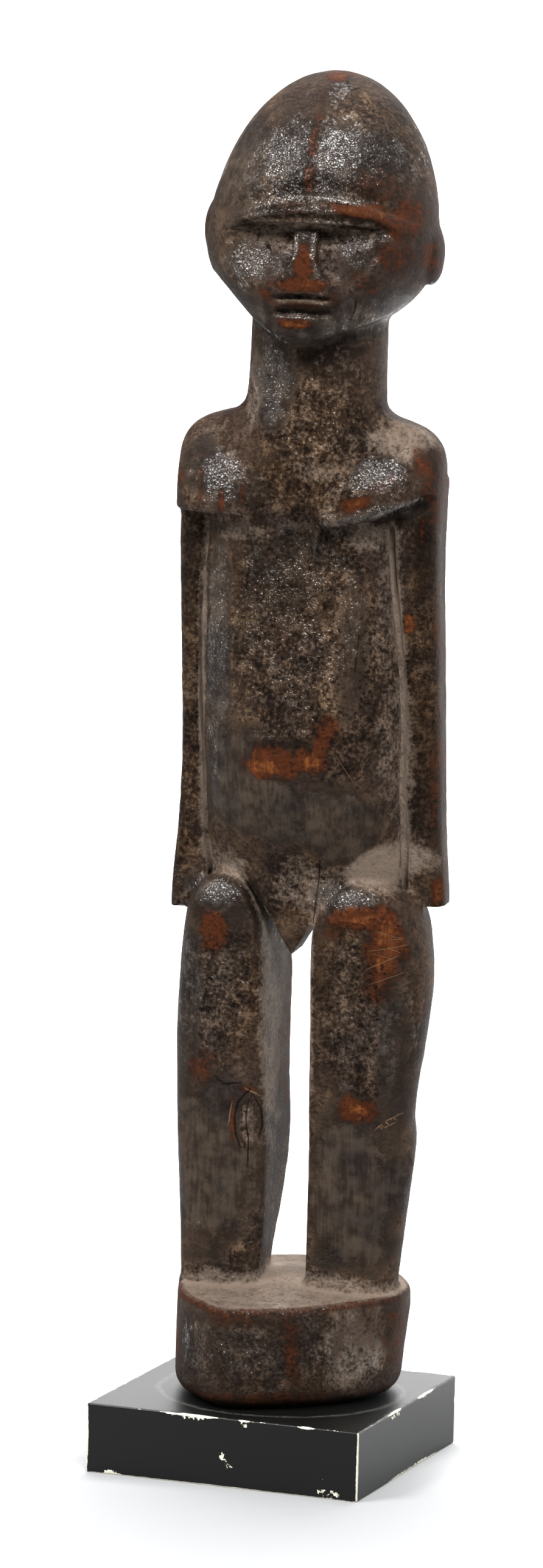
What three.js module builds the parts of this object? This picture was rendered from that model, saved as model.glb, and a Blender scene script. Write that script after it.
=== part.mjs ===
// Carved wooden standing figure on a square painted block.
// Millimetres, +Z up, the block's front faces -Y, the origin is the middle of the block's underside.
// The figure is one rounded solid: each form gives a distance, and the forms are blended like carved wood.
import * as THREE from 'three';

// Driving dimensions of the block and of the whole work
const BLOCK_SIDE = 75;
const BLOCK_HEIGHT = 18.25;
const BLOCK_EDGE = 0.5;
const SEAT_GAP = 0.3;
const FIGURE_TURN = 8.5;
const FIGURE_X = 2.6;
const FIGURE_Y = 6.4;

// Heights above the block's underside
const SEAT = BLOCK_HEIGHT + SEAT_GAP;
const RIM = 45.2;
const CROTCH = 143.5;
const ARM_END = 146.2;
const ARM_TILT = 0.053;
const LEDGE = 248.6;
const SHOULDER = 276.2;
const CROWN = 362.2;

// The trunk drifts a little to either side of the straight line: [height, sideways]
const SWAY = [[48, 0.2], [95, 1.1], [140, 1.3], [195, 0.9], [235, -0.7], [262, -0.6], [284, 0]];

// Foot disc: hewn facets as [direction in degrees, distance from its middle, how far it draws in below]
const DISC_MIDDLE = [0.3, -2.6];
const DISC_FACETS = [
  [-75, 29.8, 0], [-47, 25.9, 0.03], [-18, 30.2, 0.1], [12, 30.8, 0.1], [45, 31, 0.05],
  [80, 31, 0], [115, 31, 0], [150, 30.8, 0], [188, 30.3, 0], [221, 32.6, 0],
];
const DISC_WAIST = 41;
const DISC_CORNER = 6;
const DISC_FOOT_ROUND = 5.5;
const MOUND = 2.6;
const TOP_SLOPE = 0.045;

// Columns are stations [height, middle x, half width, front y, back y, squareness]
const LEFT_LEG = [
  [45, -16, 13.5, -10.5, 8, 2.6],
  [60, -16.4, 14, -10.8, 8.6, 2.6],
  [85, -16.5, 15.9, -12, 12.6, 2.7],
  [103, -16.7, 16, -13.6, 10.5, 2.7],
  [120, -16.6, 16.1, -15, 12.5, 2.8],
  [138, -16.5, 15.2, -15.8, 15.5, 2.8],
  [156, -15.4, 14.6, -14.5, 17, 2.6],
];
const RIGHT_LEG = [
  [45, 13.5, 14.2, -10.5, 8, 2.6],
  [60, 14, 14.8, -10.8, 8.6, 2.6],
  [85, 14.7, 16.1, -12, 12.6, 2.7],
  [94, 14.4, 15.8, -12.8, 10.6, 2.7],
  [110, 15.2, 16.9, -14.2, 11.5, 2.8],
  [128, 15.8, 18.1, -15.4, 13.6, 2.8],
  [142, 15.5, 17.3, -15.8, 15.8, 2.8],
  [156, 15.4, 15.4, -14.5, 17, 2.6],
];
const LEG_SKEW = 0.12;

// The flat inner side of each leg: [height, sideways place at the front corner, the same further back]
const LEFT_INNER = [
  [45, -8.3, -8.6], [55, -7.6, -7.4], [70, -7.4, -5.6], [102, -8, -5.5],
  [127, -8.6, -6.7], [141, -9.8, -7.6], [153, -12, -9],
];
const RIGHT_INNER = [[45, 4.2, 4.8], [80, 3.6, 4.4], [129, 3.1, 4], [143, 3.4, 4.4], [153, 5.4, 6]];
const CORNER_Y = -10;
const INNER_DEPTH = 18;

// The knob a thigh ends in: [sideways place, top, how fast it falls inward, the same outward]
const LEFT_KNOB = [-19.3, 155, 0.13, 0.03];
const RIGHT_KNOB = [15.7, 154.8, 0.057, 0.024];
const TORSO = [
  [140, 0, 25, -7, 17, 2.5],
  [150, 0, 27.6, -9.2, 19.6, 2.5],
  [158, -0.2, 27.6, -12.8, 19.4, 2.4],
  [167, -0.6, 26.6, -17.2, 16.6, 2.3],
  [178, -1, 25.8, -20, 12.6, 2.3],
  [188, -1.2, 25.9, -20.6, 9.6, 2.3],
  [202, -1.4, 26.3, -18.9, 8.2, 2.4],
  [222, -1.9, 25.9, -16.2, 9.4, 2.5],
  [240, -2.2, 25, -14.2, 12, 2.6],
  [256, -2, 25, -13.6, 13.4, 2.6],
];
const YOKE = [
  [240, 0, 34.4, -18, 13, 3.4],
  [250, 0, 34.6, -18, 13.8, 3.4],
  [258, 0, 34.8, -16.4, 13.8, 3.3],
  [266, 0, 34.6, -12.6, 12, 3],
  [274, 0, 34, -8.6, 9, 2.8],
  [282, 0, 33, -6, 7, 2.8],
];
const ARM = [
  [140, 31.6, 5, -4, 6.6, 4],
  [150, 31.2, 5.2, -4.2, 7, 4],
  [170, 28.6, 6.4, -5, 9, 4],
  [200, 27.8, 6.5, -5.6, 10, 4],
  [230, 27.8, 6.5, -6, 11, 4],
  [256, 27.8, 6.6, -6.6, 12, 4],
];
const NECK_TOP = 318;
const NECK = [
  [262, 0, 20, -17, 15, 2.2],
  [272, 0, 18.7, -15.4, 15, 2.2],
  [283, 0, 17.9, -14.3, 15, 2.2],
  [296, 0, 17.7, -14, 15.6, 2.2],
  [316, 0, 17.7, -10, 16, 2.2],
];

// The rolled edge of the right breast: [x, y, z] from its inner to its outer end, and its radii
const ROLL_PATH = [[8, -16.8, 248.8], [19, -15.2, 251.8], [28, -10.8, 255.6]];
const ROLL_RADII = [2.7, 2.4];

// Head: a pointed dome that leans back, a wedge-shaped jaw and a sunk face
const HEAD_WIDEST = 318.5;
const DOME_HALF = [30, 27.5, CROWN - HEAD_WIDEST];
const DOME_BACK = 24;
const DOME_BELOW = 23.2;
const DOME_MIDDLE_Y = 1;
const DOME_LEAN = 0.33;
const JAW_MIDDLE = [0, -6.5, 305.5];
const JAW_HALF = [19, 16.2, 18];
const EAR_MIDDLE = [28, 3.5, 318.6];
const EAR_HALF = [3.3, 8, 8.2];
const FACE_FRONT = -17.8;
const FACE_FORWARD = 0.38;
const CHEEK_SLOPE = 0.08;
const CHEEK_END = 0.3;
const EYE_LINE = 321;
const BROW_PROUD = 2;
const BROW_SLIT = 323.6;
const SLIT_BOW = 0.0025;
const NOSE_HALF = 2.4;
const NOSE_SPREAD = 2.1;
const MUZZLE_HALF = 10;
const MOUTH_OPEN = 4.8;
const MOUTH_HALF = 9.2;

// The lines of the brow band and of the jaw's lower edge: [sideways place, height]
const BROW_CREST = [
  [-27, 321.5], [-20.3, 326.1], [-10.5, 329.8], [-0.4, 332],
  [6.8, 331.4], [13.6, 330.3], [26.3, 325], [31, 321],
];
const BROW_EDGE = [[-27, 319.5], [-17, 323.9], [-9, 326.2], [0, 327.4], [9, 327.2], [18, 325.6], [27, 321.5]];
const CHIN_EDGE = [
  [-26, 310], [-14.5, 299.6], [-8.4, 295.2], [-3.5, 293], [0, 292.7],
  [4.2, 294.6], [8.1, 296.3], [15, 298.8], [20, 301], [28, 306],
];

// Nose, muzzle and mouth in profile: [height, how far forward it stands]
const NOSE_LINE = [[306, -25.2], [308.5, -25.6], [311, -25.4], [316, -23.8], [322.5, -20.9], [326, -19.4]];
const MUZZLE_LINE = [
  [288, -17.6], [292, -20], [297.2, -22.9], [300.6, -24.3], [304.6, -25.2], [309, -25.3], [312, -24.9],
];
const MOUTH_LINE = [
  [288, -17.6], [294, -21.2], [297.2, -22.9], [300.3, -24.3], [301, -23.9], [302.3, -22.6],
  [303.4, -23.4], [304.4, -25.3], [305, -25], [306.1, -22.9], [307.2, -24.6], [309, -25.1], [312, -24.5],
];

// Fineness of the faceted skin: [from, to, step] along each direction
const TICKS_X = [[-42, -22, 4], [-22, -10, 3], [-10, 10, 2.3], [10, 22, 3], [22, 42, 4]];
const TICKS_Y = [[-42, -26, 5.3], [-26, -10, 2.5], [-10, 38, 5.3]];
const TICKS_Z = [
  [10, 16, 6], [16, 43, 6.75], [43, 51, 4], [51, 131, 10], [131, 166, 4.4], [165, 237, 9],
  [237, 284, 5.4], [284, 333, 2.45], [333, 368, 5], [368, 374, 6],
];

// Blends two distances: the union, the common part, and the first less the second
function join(a, b, soft) {
  const overlap = Math.max(soft - Math.abs(a - b), 0);
  return Math.min(a, b) - (overlap * overlap) / (4 * soft);
}
const meet = (a, b, soft) => -join(-a, -b, soft);
const carve = (a, b, soft) => meet(a, -b, soft);

// A value along the stations of a column, on a smooth curve through them
function along(stations, z, item) {
  const last = stations.length - 1;
  if (z <= stations[0][0]) return stations[0][item];
  if (z >= stations[last][0]) return stations[last][item];
  let i = 0;
  while (z > stations[i + 1][0]) i += 1;
  const slope = (k) => {
    const before = stations[Math.max(k - 1, 0)];
    const after = stations[Math.min(k + 1, last)];
    return (after[item] - before[item]) / (after[0] - before[0]);
  };
  const span = stations[i + 1][0] - stations[i][0];
  const t = (z - stations[i][0]) / span;
  const rise = stations[i + 1][item] - stations[i][item];
  const start = slope(i) * span;
  const end = slope(i + 1) * span;
  return stations[i][item] + t * start + t * t * (3 * rise - 2 * start - end)
    + t * t * t * (start + end - 2 * rise);
}

// The height of a straight-sided line at a place along it
function lineAt(points, place) {
  const last = points.length - 1;
  if (place <= points[0][0]) return points[0][1];
  if (place >= points[last][0]) return points[last][1];
  let i = 0;
  while (place > points[i + 1][0]) i += 1;
  const share = (place - points[i][0]) / (points[i + 1][0] - points[i][0]);
  return points[i][1] + share * (points[i + 1][1] - points[i][1]);
}

// A column whose cross-section is a squared oval
function column(stations, x, y, z) {
  const [middle, half, front, back, square] = [1, 2, 3, 4, 5].map((item) => along(stations, z, item));
  const dx = x - middle;
  const dy = y - (front + back) / 2;
  const depth = (back - front) / 2;
  const reach = (Math.abs(dx / half) ** square + Math.abs(dy / depth) ** square) ** (1 / square);
  const far = Math.hypot(dx, dy);
  return far < 1e-6 ? -Math.min(half, depth) : far - far / reach;
}

// An egg shape with half axes
function egg(x, y, z, half) {
  const near = Math.hypot(x / half[0], y / half[1], z / half[2]);
  const steep = Math.hypot(x / half[0] ** 2, y / half[1] ** 2, z / half[2] ** 2);
  return steep < 1e-9 ? -Math.min(...half) : (near * (near - 1)) / steep;
}

// A straight rod with round ends
function rod(x, y, z, from, to, radius) {
  const line = to.map((part, n) => part - from[n]);
  const off = [x - from[0], y - from[1], z - from[2]];
  const dot = (a, b) => a.reduce((sum, part, n) => sum + part * b[n], 0);
  const share = Math.min(Math.max(dot(off, line) / dot(line, line), 0), 1);
  return Math.hypot(...off.map((part, n) => part - share * line[n])) - radius;
}

// Rises smoothly from 0 at one value to 1 at the other
const easeStep = (from, to, value) => {
  const t = Math.min(Math.max((value - from) / (to - from), 0), 1);
  return t * t * (3 - 2 * t);
};

// The round foot with hewn sides and a low mound between the feet
function footDisc(x, y, z) {
  const dx = x - DISC_MIDDLE[0];
  const dy = y - DISC_MIDDLE[1];
  let side = -Infinity;
  for (const [direction, distance, taper] of DISC_FACETS) {
    const turn = THREE.MathUtils.degToRad(direction);
    const drawnIn = distance - taper * Math.max(DISC_WAIST - z, 0);
    const facet = dx * Math.cos(turn) + dy * Math.sin(turn) - drawnIn;
    side = side === -Infinity ? facet : meet(side, facet, DISC_CORNER);
  }
  const mound = MOUND * Math.exp(-(((x + 2) / 12) ** 2) - ((y - 2) / 14) ** 2);
  const top = (z - RIM - TOP_SLOPE * (y + 33) - mound) * 0.96;
  return meet(meet(side, top, 2), SEAT - z, DISC_FOOT_ROUND);
}

// One leg, hewn flat inside, whose thigh ends in a round knob: side is -1 on the left, 1 on the right
function leg(stations, inner, knob, side, x, y, z) {
  const [middle, top, inward, outward] = knob;
  const dx = side * (x - middle);
  const end = z - top + inward * Math.min(dx, 0) ** 2 + outward * Math.max(dx, 0) ** 2;
  const form = meet(column(stations, x + side * LEG_SKEW * (y + 2), y, z), end, 7);
  const share = (y - CORNER_Y) / INNER_DEPTH;
  const face = along(inner, z, 1) * (1 - share) + along(inner, z, 2) * share;
  return meet(meet(form, side * (face - x), 1.6), RIM - 8 - z, 1);
}

// How far a place lies to the left of the flap's left edge
const flapLeft = (x, z) => -(x + 9.4) * 0.846 - (z - 146) * 0.533;

// The trunk is sunk beside the flap, so that the flap's left edge stands free
function hips(x, y, z) {
  const crotch = CROTCH - z - 0.3 * Math.max(y - 2, 0) * easeStep(2, 12, y);
  const beside = easeStep(-0.6, 2, flapLeft(x, z)) * easeStep(-18, -13, x);
  const sunk = 3.5 * beside * (1 - easeStep(149, 157, z));
  const trunk = meet(column(TORSO, x, y, z), along(TORSO, z, 3) + sunk - y, 1);
  return meet(meet(trunk, crotch, 4), z - LEDGE - 6, 1);
}

// The pointed flap that hangs at the crotch
function flap(x, y, z) {
  const right = (x - 3.4) * 0.857 - (z - 143.5) * 0.515;
  const wedge = meet(meet(flapLeft(x, z), right, 0.6), z - 158, 1);
  return meet(wedge, Math.abs(y + 4.4) - 7.1, 0.9);
}

// Shoulders and breast: a ledge below each breast, none in the middle, and a rolled edge on the right
function yoke(x, y, z) {
  const slope = SHOULDER - 0.28 * Math.max(Math.abs(x) - 16, 0) - 0.02 * x;
  const top = (z - slope) * 0.95;
  const middle = easeStep(-14.5, -10, x) * (1 - easeStep(2, 7, x));
  const rise = 7 * easeStep(9, 30, x) + 0.6 * easeStep(-14, -34, x);
  const low = LEDGE + rise - z - 14 * middle;
  const sunk = column(YOKE, x, y, z) + middle * 0.3 * Math.max(258 - z, 0);
  const form = meet(meet(sunk, top, 8), low, 1.2);
  const [inner, bend, outer] = ROLL_PATH;
  const roll = join(rod(x, y, z, inner, bend, ROLL_RADII[0]), rod(x, y, z, bend, outer, ROLL_RADII[1]), 1);
  return join(form, roll, 0.8);
}

function arm(x, y, z) {
  return meet(meet(column(ARM, Math.abs(x), y, z), ARM_END + ARM_TILT * x - z, 0.6), z - LEDGE - 10, 1);
}

// The dome leans back, with its own depth behind and its own height below
function dome(x, y, z) {
  const lean = DOME_MIDDLE_Y + DOME_LEAN * Math.max(z - HEAD_WIDEST, 0);
  const dy = y - lean;
  const dz = z - HEAD_WIDEST;
  const depth = dy > 0 ? DOME_BACK : DOME_HALF[1];
  const height = dz > 0 ? DOME_HALF[2] : DOME_BELOW;
  return egg(x, dy, dz, [DOME_HALF[0], depth, height]);
}

// Two low ears whose front edges are cut square
function ears(x, y, z) {
  const lobe = egg(Math.abs(x) - EAR_MIDDLE[0], y - EAR_MIDDLE[1], z - EAR_MIDDLE[2] + 0.07 * x, EAR_HALF);
  return meet(lobe, -3 - y + 0.1 * (z - 318), 0.5);
}

// The band over the eyes stands proud of the skull and is bevelled below
function brow(x, y, z, skull) {
  const proud = BROW_PROUD * (1 - easeStep(14, 26, Math.abs(x - 2)));
  const low = (lineAt(BROW_EDGE, x) - z) * 0.75 - (y + 24.4 - 0.0148 * x * x) * 0.66;
  const band = meet(meet(skull - proud, z - lineAt(BROW_CREST, x), 0.6), low, 0.5);
  return meet(meet(band, y + 4, 2), BROW_SLIT - SLIT_BOW * x * x - z, 0.3);
}

// A muzzle with the slot of the mouth, a lower lip and a chin ledge
function mouth(x, y, z) {
  const side = Math.abs(x - 0.2);
  const closed = easeStep(MOUTH_OPEN, MOUTH_HALF, side);
  const front = along(MOUTH_LINE, z, 1) * (1 - closed) + lineAt(MUZZLE_LINE, z) * closed;
  const back = 0.01 * side * side + 0.0009 * side ** 3;
  const form = (front + back - y) * 0.9;
  const top = z - 312.4 + 0.5 * Math.max(side - 4, 0) + 0.2 * Math.max(x - 4, 0);
  const sides = (side - MUZZLE_HALF + 0.14 * Math.max(306 - z, 0)) * 0.95;
  return meet(meet(meet(form, top, 0.6), sides, 1.6), y + 8, 2);
}

function head(x, y, z) {
  const aside = Math.abs(x);
  const skull = dome(x, y, z);
  const jaw = egg(x, y - JAW_MIDDLE[1], z - JAW_MIDDLE[2], JAW_HALF);
  let form = join(join(skull, jaw, 6), ears(x, y, z), 0.8);

  // The sunk face below the brow leans forward to the mouth
  const lean = FACE_FORWARD * (EYE_LINE - z);
  const cheek = CHEEK_SLOPE * Math.max(aside - 3, 0) - CHEEK_END * Math.max(aside - 13, 0);
  const plane = FACE_FRONT - lean + cheek;
  const slit = BROW_SLIT + 1.2 - SLIT_BOW * x * x;
  form = carve(form, meet(y - plane, z - slit, 1), 1.6);
  form = join(form, brow(x, y, z, skull), 1);

  // The nose is a narrow flat-topped wedge that runs down into the upper lip
  const spread = NOSE_HALF + NOSE_SPREAD * easeStep(315, 310.5, z);
  const bridge = lineAt(NOSE_LINE, z) + 0.1 * aside;
  const nose = meet(meet(aside - spread, bridge - y, 0.5), meet(306.7 - z, z - 324.4, 0.6), 0.5);
  form = join(form, meet(nose, y + 12, 1), 0.5);
  form = join(form, mouth(x, y, z), 0.8);
  return meet(form, (lineAt(CHIN_EDGE, x) - z) * 0.88, 1.4);
}

// The whole figure in its own frame, facing -Y
function figureDistance(place, y, z) {
  const x = place - along(SWAY, z, 1);
  const left = leg(LEFT_LEG, LEFT_INNER, LEFT_KNOB, -1, x, y, z);
  const right = leg(RIGHT_LEG, RIGHT_INNER, RIGHT_KNOB, 1, x, y, z);
  let body = join(join(left, right, 1), hips(x, y, z), 3);
  body = join(body, flap(x, y, z), 3.5);
  body = join(body, arm(x, y, z), 2);
  body = join(body, yoke(x, y, z), 2.2);
  body = join(body, footDisc(x, y, z), 2);
  const neck = meet(meet(column(NECK, x, y, z), 262 - z, 3), z - NECK_TOP, 1);
  const top = join(neck, head(x, y, z), 1.6);
  return join(body, top, 3.5);
}

// Places along one direction, from stretches of even steps
function ticks(stretches) {
  const places = [];
  for (const [from, to, step] of stretches) {
    const count = Math.max(Math.round((to - from) / step), 1);
    for (let i = 0; i < count; i += 1) places.push(from + ((to - from) * i) / count);
  }
  places.push(stretches[stretches.length - 1][1]);
  return places;
}

// Where the surface crosses the straight line between two points on either side of it
function crossing(distance, from, to, atFrom, atTo) {
  let [near, far, vNear, vFar] = [0, 1, atFrom, atTo];
  let place = from;
  for (let round = 0; round < 4; round += 1) {
    const t = Math.min(Math.max(near + ((far - near) * vNear) / (vNear - vFar), near + 0.02), far);
    place = from.map((part, n) => part + t * (to[n] - part));
    const value = distance(...place);
    if (value < 0 === vNear < 0) [near, vNear] = [t, value];
    else [far, vFar] = [t, value];
    if (far - near < 1e-3) break;
  }
  return place;
}

// The unit direction in which a distance grows fastest
function steepest(distance, [x, y, z]) {
  const step = 0.05;
  const slope = new THREE.Vector3(
    distance(x + step, y, z) - distance(x - step, y, z),
    distance(x, y + step, z) - distance(x, y - step, z),
    distance(x, y, z + step) - distance(x, y, z - step),
  );
  return slope.normalize().toArray();
}

// The point that lies nearest to all the tangent planes where the surface crosses a cell's edges
function cornerPoint(crossings, normals, low, high) {
  let point = [0, 1, 2].map((n) => crossings.reduce((sum, place) => sum + place[n], 0) / crossings.length);
  for (let round = 0; round < 12; round += 1) {
    const move = [0, 0, 0];
    crossings.forEach((place, i) => {
      const off = [0, 1, 2].reduce((sum, n) => sum + normals[i][n] * (point[n] - place[n]), 0);
      normals[i].forEach((part, n) => { move[n] -= (off * part) / crossings.length; });
    });
    point = point.map((part, n) => Math.min(Math.max(part + 0.8 * move[n], low[n]), high[n]));
  }
  return point;
}

// A closed skin around a distance: one point in each cell that the surface crosses
function skin(distance, xs, ys, zs) {
  const size = [xs.length, ys.length, zs.length];
  const at = (i, j, k) => i + size[0] * (j + size[1] * k);
  const values = new Float64Array(size[0] * size[1] * size[2]);
  for (let k = 0; k < size[2]; k += 1) {
    for (let j = 0; j < size[1]; j += 1) {
      for (let i = 0; i < size[0]; i += 1) values[at(i, j, k)] = distance(xs[i], ys[j], zs[k]);
    }
  }
  const corners = [0, 1, 2, 3, 4, 5, 6, 7].map((c) => [c & 1, (c >> 1) & 1, (c >> 2) & 1]);
  const edges = [];
  corners.forEach((a, ia) => corners.forEach((b, ib) => {
    const apart = Math.abs(a[0] - b[0]) + Math.abs(a[1] - b[1]) + Math.abs(a[2] - b[2]);
    if (ia < ib && apart === 1) edges.push([a, b]);
  }));
  const points = [];
  const cells = new Int32Array(values.length).fill(-1);
  for (let k = 0; k < size[2] - 1; k += 1) {
    for (let j = 0; j < size[1] - 1; j += 1) {
      for (let i = 0; i < size[0] - 1; i += 1) {
        const crossings = [];
        for (const [a, b] of edges) {
          const va = values[at(i + a[0], j + a[1], k + a[2])];
          const vb = values[at(i + b[0], j + b[1], k + b[2])];
          if (va < 0 !== vb < 0) {
            const from = [xs[i + a[0]], ys[j + a[1]], zs[k + a[2]]];
            const to = [xs[i + b[0]], ys[j + b[1]], zs[k + b[2]]];
            crossings.push(crossing(distance, from, to, va, vb));
          }
        }
        if (crossings.length === 0) continue;
        const normals = crossings.map((place) => steepest(distance, place));
        const low = [xs[i], ys[j], zs[k]];
        const high = [xs[i + 1], ys[j + 1], zs[k + 1]];
        cells[at(i, j, k)] = points.length;
        points.push(cornerPoint(crossings, normals, low, high));
      }
    }
  }
  const faces = [];
  const quad = (a, b, c, d) => {
    const across = (p, q) => Math.hypot(...[0, 1, 2].map((n) => points[p][n] - points[q][n]));
    if (across(a, c) <= across(b, d)) faces.push(a, b, c, a, c, d);
    else faces.push(b, c, d, b, d, a);
  };
  const steps = [[1, 0, 0], [0, 1, 0], [0, 0, 1]];
  for (let k = 1; k < size[2] - 1; k += 1) {
    for (let j = 1; j < size[1] - 1; j += 1) {
      for (let i = 1; i < size[0] - 1; i += 1) {
        const here = values[at(i, j, k)] < 0;
        for (let n = 0; n < 3; n += 1) {
          const [u, v] = [steps[(n + 1) % 3], steps[(n + 2) % 3]];
          const there = values[at(i + steps[n][0], j + steps[n][1], k + steps[n][2])] < 0;
          if (here === there) continue;
          const back = (n2, p, q) => p * u[n2] + q * v[n2];
          const cell = (p, q) => cells[at(i - back(0, p, q), j - back(1, p, q), k - back(2, p, q))];
          const ring = [cell(0, 0), cell(1, 0), cell(1, 1), cell(0, 1)];
          if (here) quad(ring[0], ring[1], ring[2], ring[3]);
          else quad(ring[3], ring[2], ring[1], ring[0]);
        }
      }
    }
  }
  const geometry = new THREE.BufferGeometry();
  geometry.setAttribute('position', new THREE.Float32BufferAttribute(points.flat(), 3));
  geometry.setIndex(faces);
  geometry.computeVertexNormals();
  return geometry;
}

function makeFigure() {
  const geometry = skin(figureDistance, ticks(TICKS_X), ticks(TICKS_Y), ticks(TICKS_Z));
  const wood = new THREE.MeshStandardMaterial({ color: 0x3b2a20, roughness: 0.6, metalness: 0 });
  const figure = new THREE.Mesh(geometry, wood);
  figure.name = 'figure';
  figure.position.set(FIGURE_X, FIGURE_Y, 0);
  figure.rotation.z = THREE.MathUtils.degToRad(FIGURE_TURN);
  return figure;
}

// The block is a square slab with slightly worn edges
function makeBlock() {
  const half = BLOCK_SIDE / 2 - BLOCK_EDGE;
  const outline = new THREE.Shape([
    new THREE.Vector2(-half, -half), new THREE.Vector2(half, -half),
    new THREE.Vector2(half, half), new THREE.Vector2(-half, half),
  ]);
  const geometry = new THREE.ExtrudeGeometry(outline, {
    depth: BLOCK_HEIGHT - 2 * BLOCK_EDGE, bevelSize: BLOCK_EDGE, bevelThickness: BLOCK_EDGE, bevelSegments: 1,
  });
  geometry.translate(0, 0, BLOCK_EDGE);
  const paint = new THREE.MeshStandardMaterial({ color: 0x1d1e1b, roughness: 0.35, metalness: 0 });
  const block = new THREE.Mesh(geometry, paint);
  block.name = 'display_block';
  return block;
}

const work = new THREE.Group();
work.add(makeFigure(), makeBlock());

export default work;
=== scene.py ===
# The carved standing figure on its painted block: fine carving, patina, wear, light and camera.
# The carving is worked out in millimetres in the figure's own frame: x to the right as seen, -y to the front
import itertools
import math

import bpy
import numpy as np
from mathutils import Matrix, Vector


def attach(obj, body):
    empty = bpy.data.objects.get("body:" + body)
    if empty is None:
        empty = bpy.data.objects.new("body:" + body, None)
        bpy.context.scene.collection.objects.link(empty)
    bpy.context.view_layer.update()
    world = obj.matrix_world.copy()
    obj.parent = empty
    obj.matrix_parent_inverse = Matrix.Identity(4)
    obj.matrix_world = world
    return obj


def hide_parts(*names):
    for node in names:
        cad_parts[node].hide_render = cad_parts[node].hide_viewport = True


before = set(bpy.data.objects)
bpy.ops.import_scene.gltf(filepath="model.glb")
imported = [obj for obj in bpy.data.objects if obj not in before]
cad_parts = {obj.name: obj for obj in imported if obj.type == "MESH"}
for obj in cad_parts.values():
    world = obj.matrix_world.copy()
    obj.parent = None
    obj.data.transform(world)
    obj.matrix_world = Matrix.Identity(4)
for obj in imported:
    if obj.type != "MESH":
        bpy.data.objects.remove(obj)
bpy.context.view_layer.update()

MM = 0.001

# The block and where the figure stands on it
BLOCK_SIDE = 75.0
BLOCK_HEIGHT = 18.25
SEAT_GAP = 0.3
FIGURE_TURN = 8.5
FIGURE_X = 2.6
FIGURE_Y = 6.4

# Heights above the block's underside
SEAT = BLOCK_HEIGHT + SEAT_GAP
RIM = 45.2
CROTCH = 143.5
ARM_END = 146.2
ARM_TILT = 0.053
GROOVE = 1.0
GROOVE_LOW, GROOVE_HIGH, GROOVE_BACK = 152, 246, 1
LEDGE = 248.6
SHOULDER = 276.2
CROWN = 362.2

# The trunk drifts a little to either side of the straight line: height, sideways
SWAY = [(48, 0.2), (95, 1.1), (140, 1.3), (195, 0.9), (235, -0.7), (262, -0.6), (284, 0)]

# Foot disc: hewn facets as direction in degrees, distance from its middle, and how far it draws in below
DISC_MIDDLE = (0.3, -2.6)
DISC_FACETS = [
    (-75, 29.8, 0), (-47, 25.9, 0.03), (-18, 30.2, 0.1), (12, 30.8, 0.1), (45, 31, 0.05),
    (80, 31, 0), (115, 31, 0), (150, 30.8, 0), (188, 30.3, 0), (221, 32.6, 0),
]
DISC_WAIST = 41
DISC_CORNER = 6
DISC_FOOT_ROUND = 5.5
DISC_EDGE = 2
DISC_FRONT = -33
TOP_SLOPE = 0.045
MOUND = 2.6
MOUND_MIDDLE = (-2, 2)
MOUND_HALF = (12, 14)

# Columns are stations: height, middle x, half width, front y, back y, squareness
LEFT_LEG = [
    (45, -16, 13.5, -10.5, 8, 2.6),
    (60, -16.4, 14, -10.8, 8.6, 2.6),
    (85, -16.5, 15.9, -12, 12.6, 2.7),
    (103, -16.7, 16, -13.6, 10.5, 2.7),
    (120, -16.6, 16.1, -15, 12.5, 2.8),
    (138, -16.5, 15.2, -15.8, 15.5, 2.8),
    (156, -15.4, 14.6, -14.5, 17, 2.6),
]
RIGHT_LEG = [
    (45, 13.5, 14.2, -10.5, 8, 2.6),
    (60, 14, 14.8, -10.8, 8.6, 2.6),
    (85, 14.7, 16.1, -12, 12.6, 2.7),
    (94, 14.4, 15.8, -12.8, 10.6, 2.7),
    (110, 15.2, 16.9, -14.2, 11.5, 2.8),
    (128, 15.8, 18.1, -15.4, 13.6, 2.8),
    (142, 15.5, 17.3, -15.8, 15.8, 2.8),
    (156, 15.4, 15.4, -14.5, 17, 2.6),
]
LEG_SKEW = 0.12
LEG_AXIS_Y = -2
LEG_LOW = RIM - 8
KNOB_ROUND = 7

# The flat inner side of each leg: height, sideways place at the front corner and further back
LEFT_INNER = [
    (45, -8.3, -8.6), (55, -7.6, -7.4), (70, -7.4, -5.6), (102, -8, -5.5),
    (127, -8.6, -6.7), (141, -9.8, -7.6), (153, -12, -9),
]
RIGHT_INNER = [(45, 4.2, 4.8), (80, 3.6, 4.4), (129, 3.1, 4), (143, 3.4, 4.4), (153, 5.4, 6)]
CORNER_Y = -10
CORNER_ROUND = 1.6
INNER_DEPTH = 18

# The knob a thigh ends in: sideways place, top, and how fast it falls inward and outward
LEFT_KNOB = (-19.3, 155, 0.13, 0.03)
RIGHT_KNOB = (15.7, 154.8, 0.057, 0.024)
TORSO = [
    (140, 0, 25, -7, 17, 2.5),
    (150, 0, 27.6, -9.2, 19.6, 2.5),
    (158, -0.2, 27.6, -12.8, 19.4, 2.4),
    (167, -0.6, 26.6, -17.2, 16.6, 2.3),
    (178, -1, 25.8, -20, 12.6, 2.3),
    (188, -1.2, 25.9, -20.6, 9.6, 2.3),
    (202, -1.4, 26.3, -18.9, 8.2, 2.4),
    (222, -1.9, 25.9, -16.2, 9.4, 2.5),
    (240, -2.2, 25, -14.2, 12, 2.6),
    (256, -2, 25, -13.6, 13.4, 2.6),
]
YOKE = [
    (240, 0, 34.4, -18, 13, 3.4),
    (250, 0, 34.6, -18, 13.8, 3.4),
    (258, 0, 34.8, -16.4, 13.8, 3.3),
    (266, 0, 34.6, -12.6, 12, 3),
    (274, 0, 34, -8.6, 9, 2.8),
    (282, 0, 33, -6, 7, 2.8),
]
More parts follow.
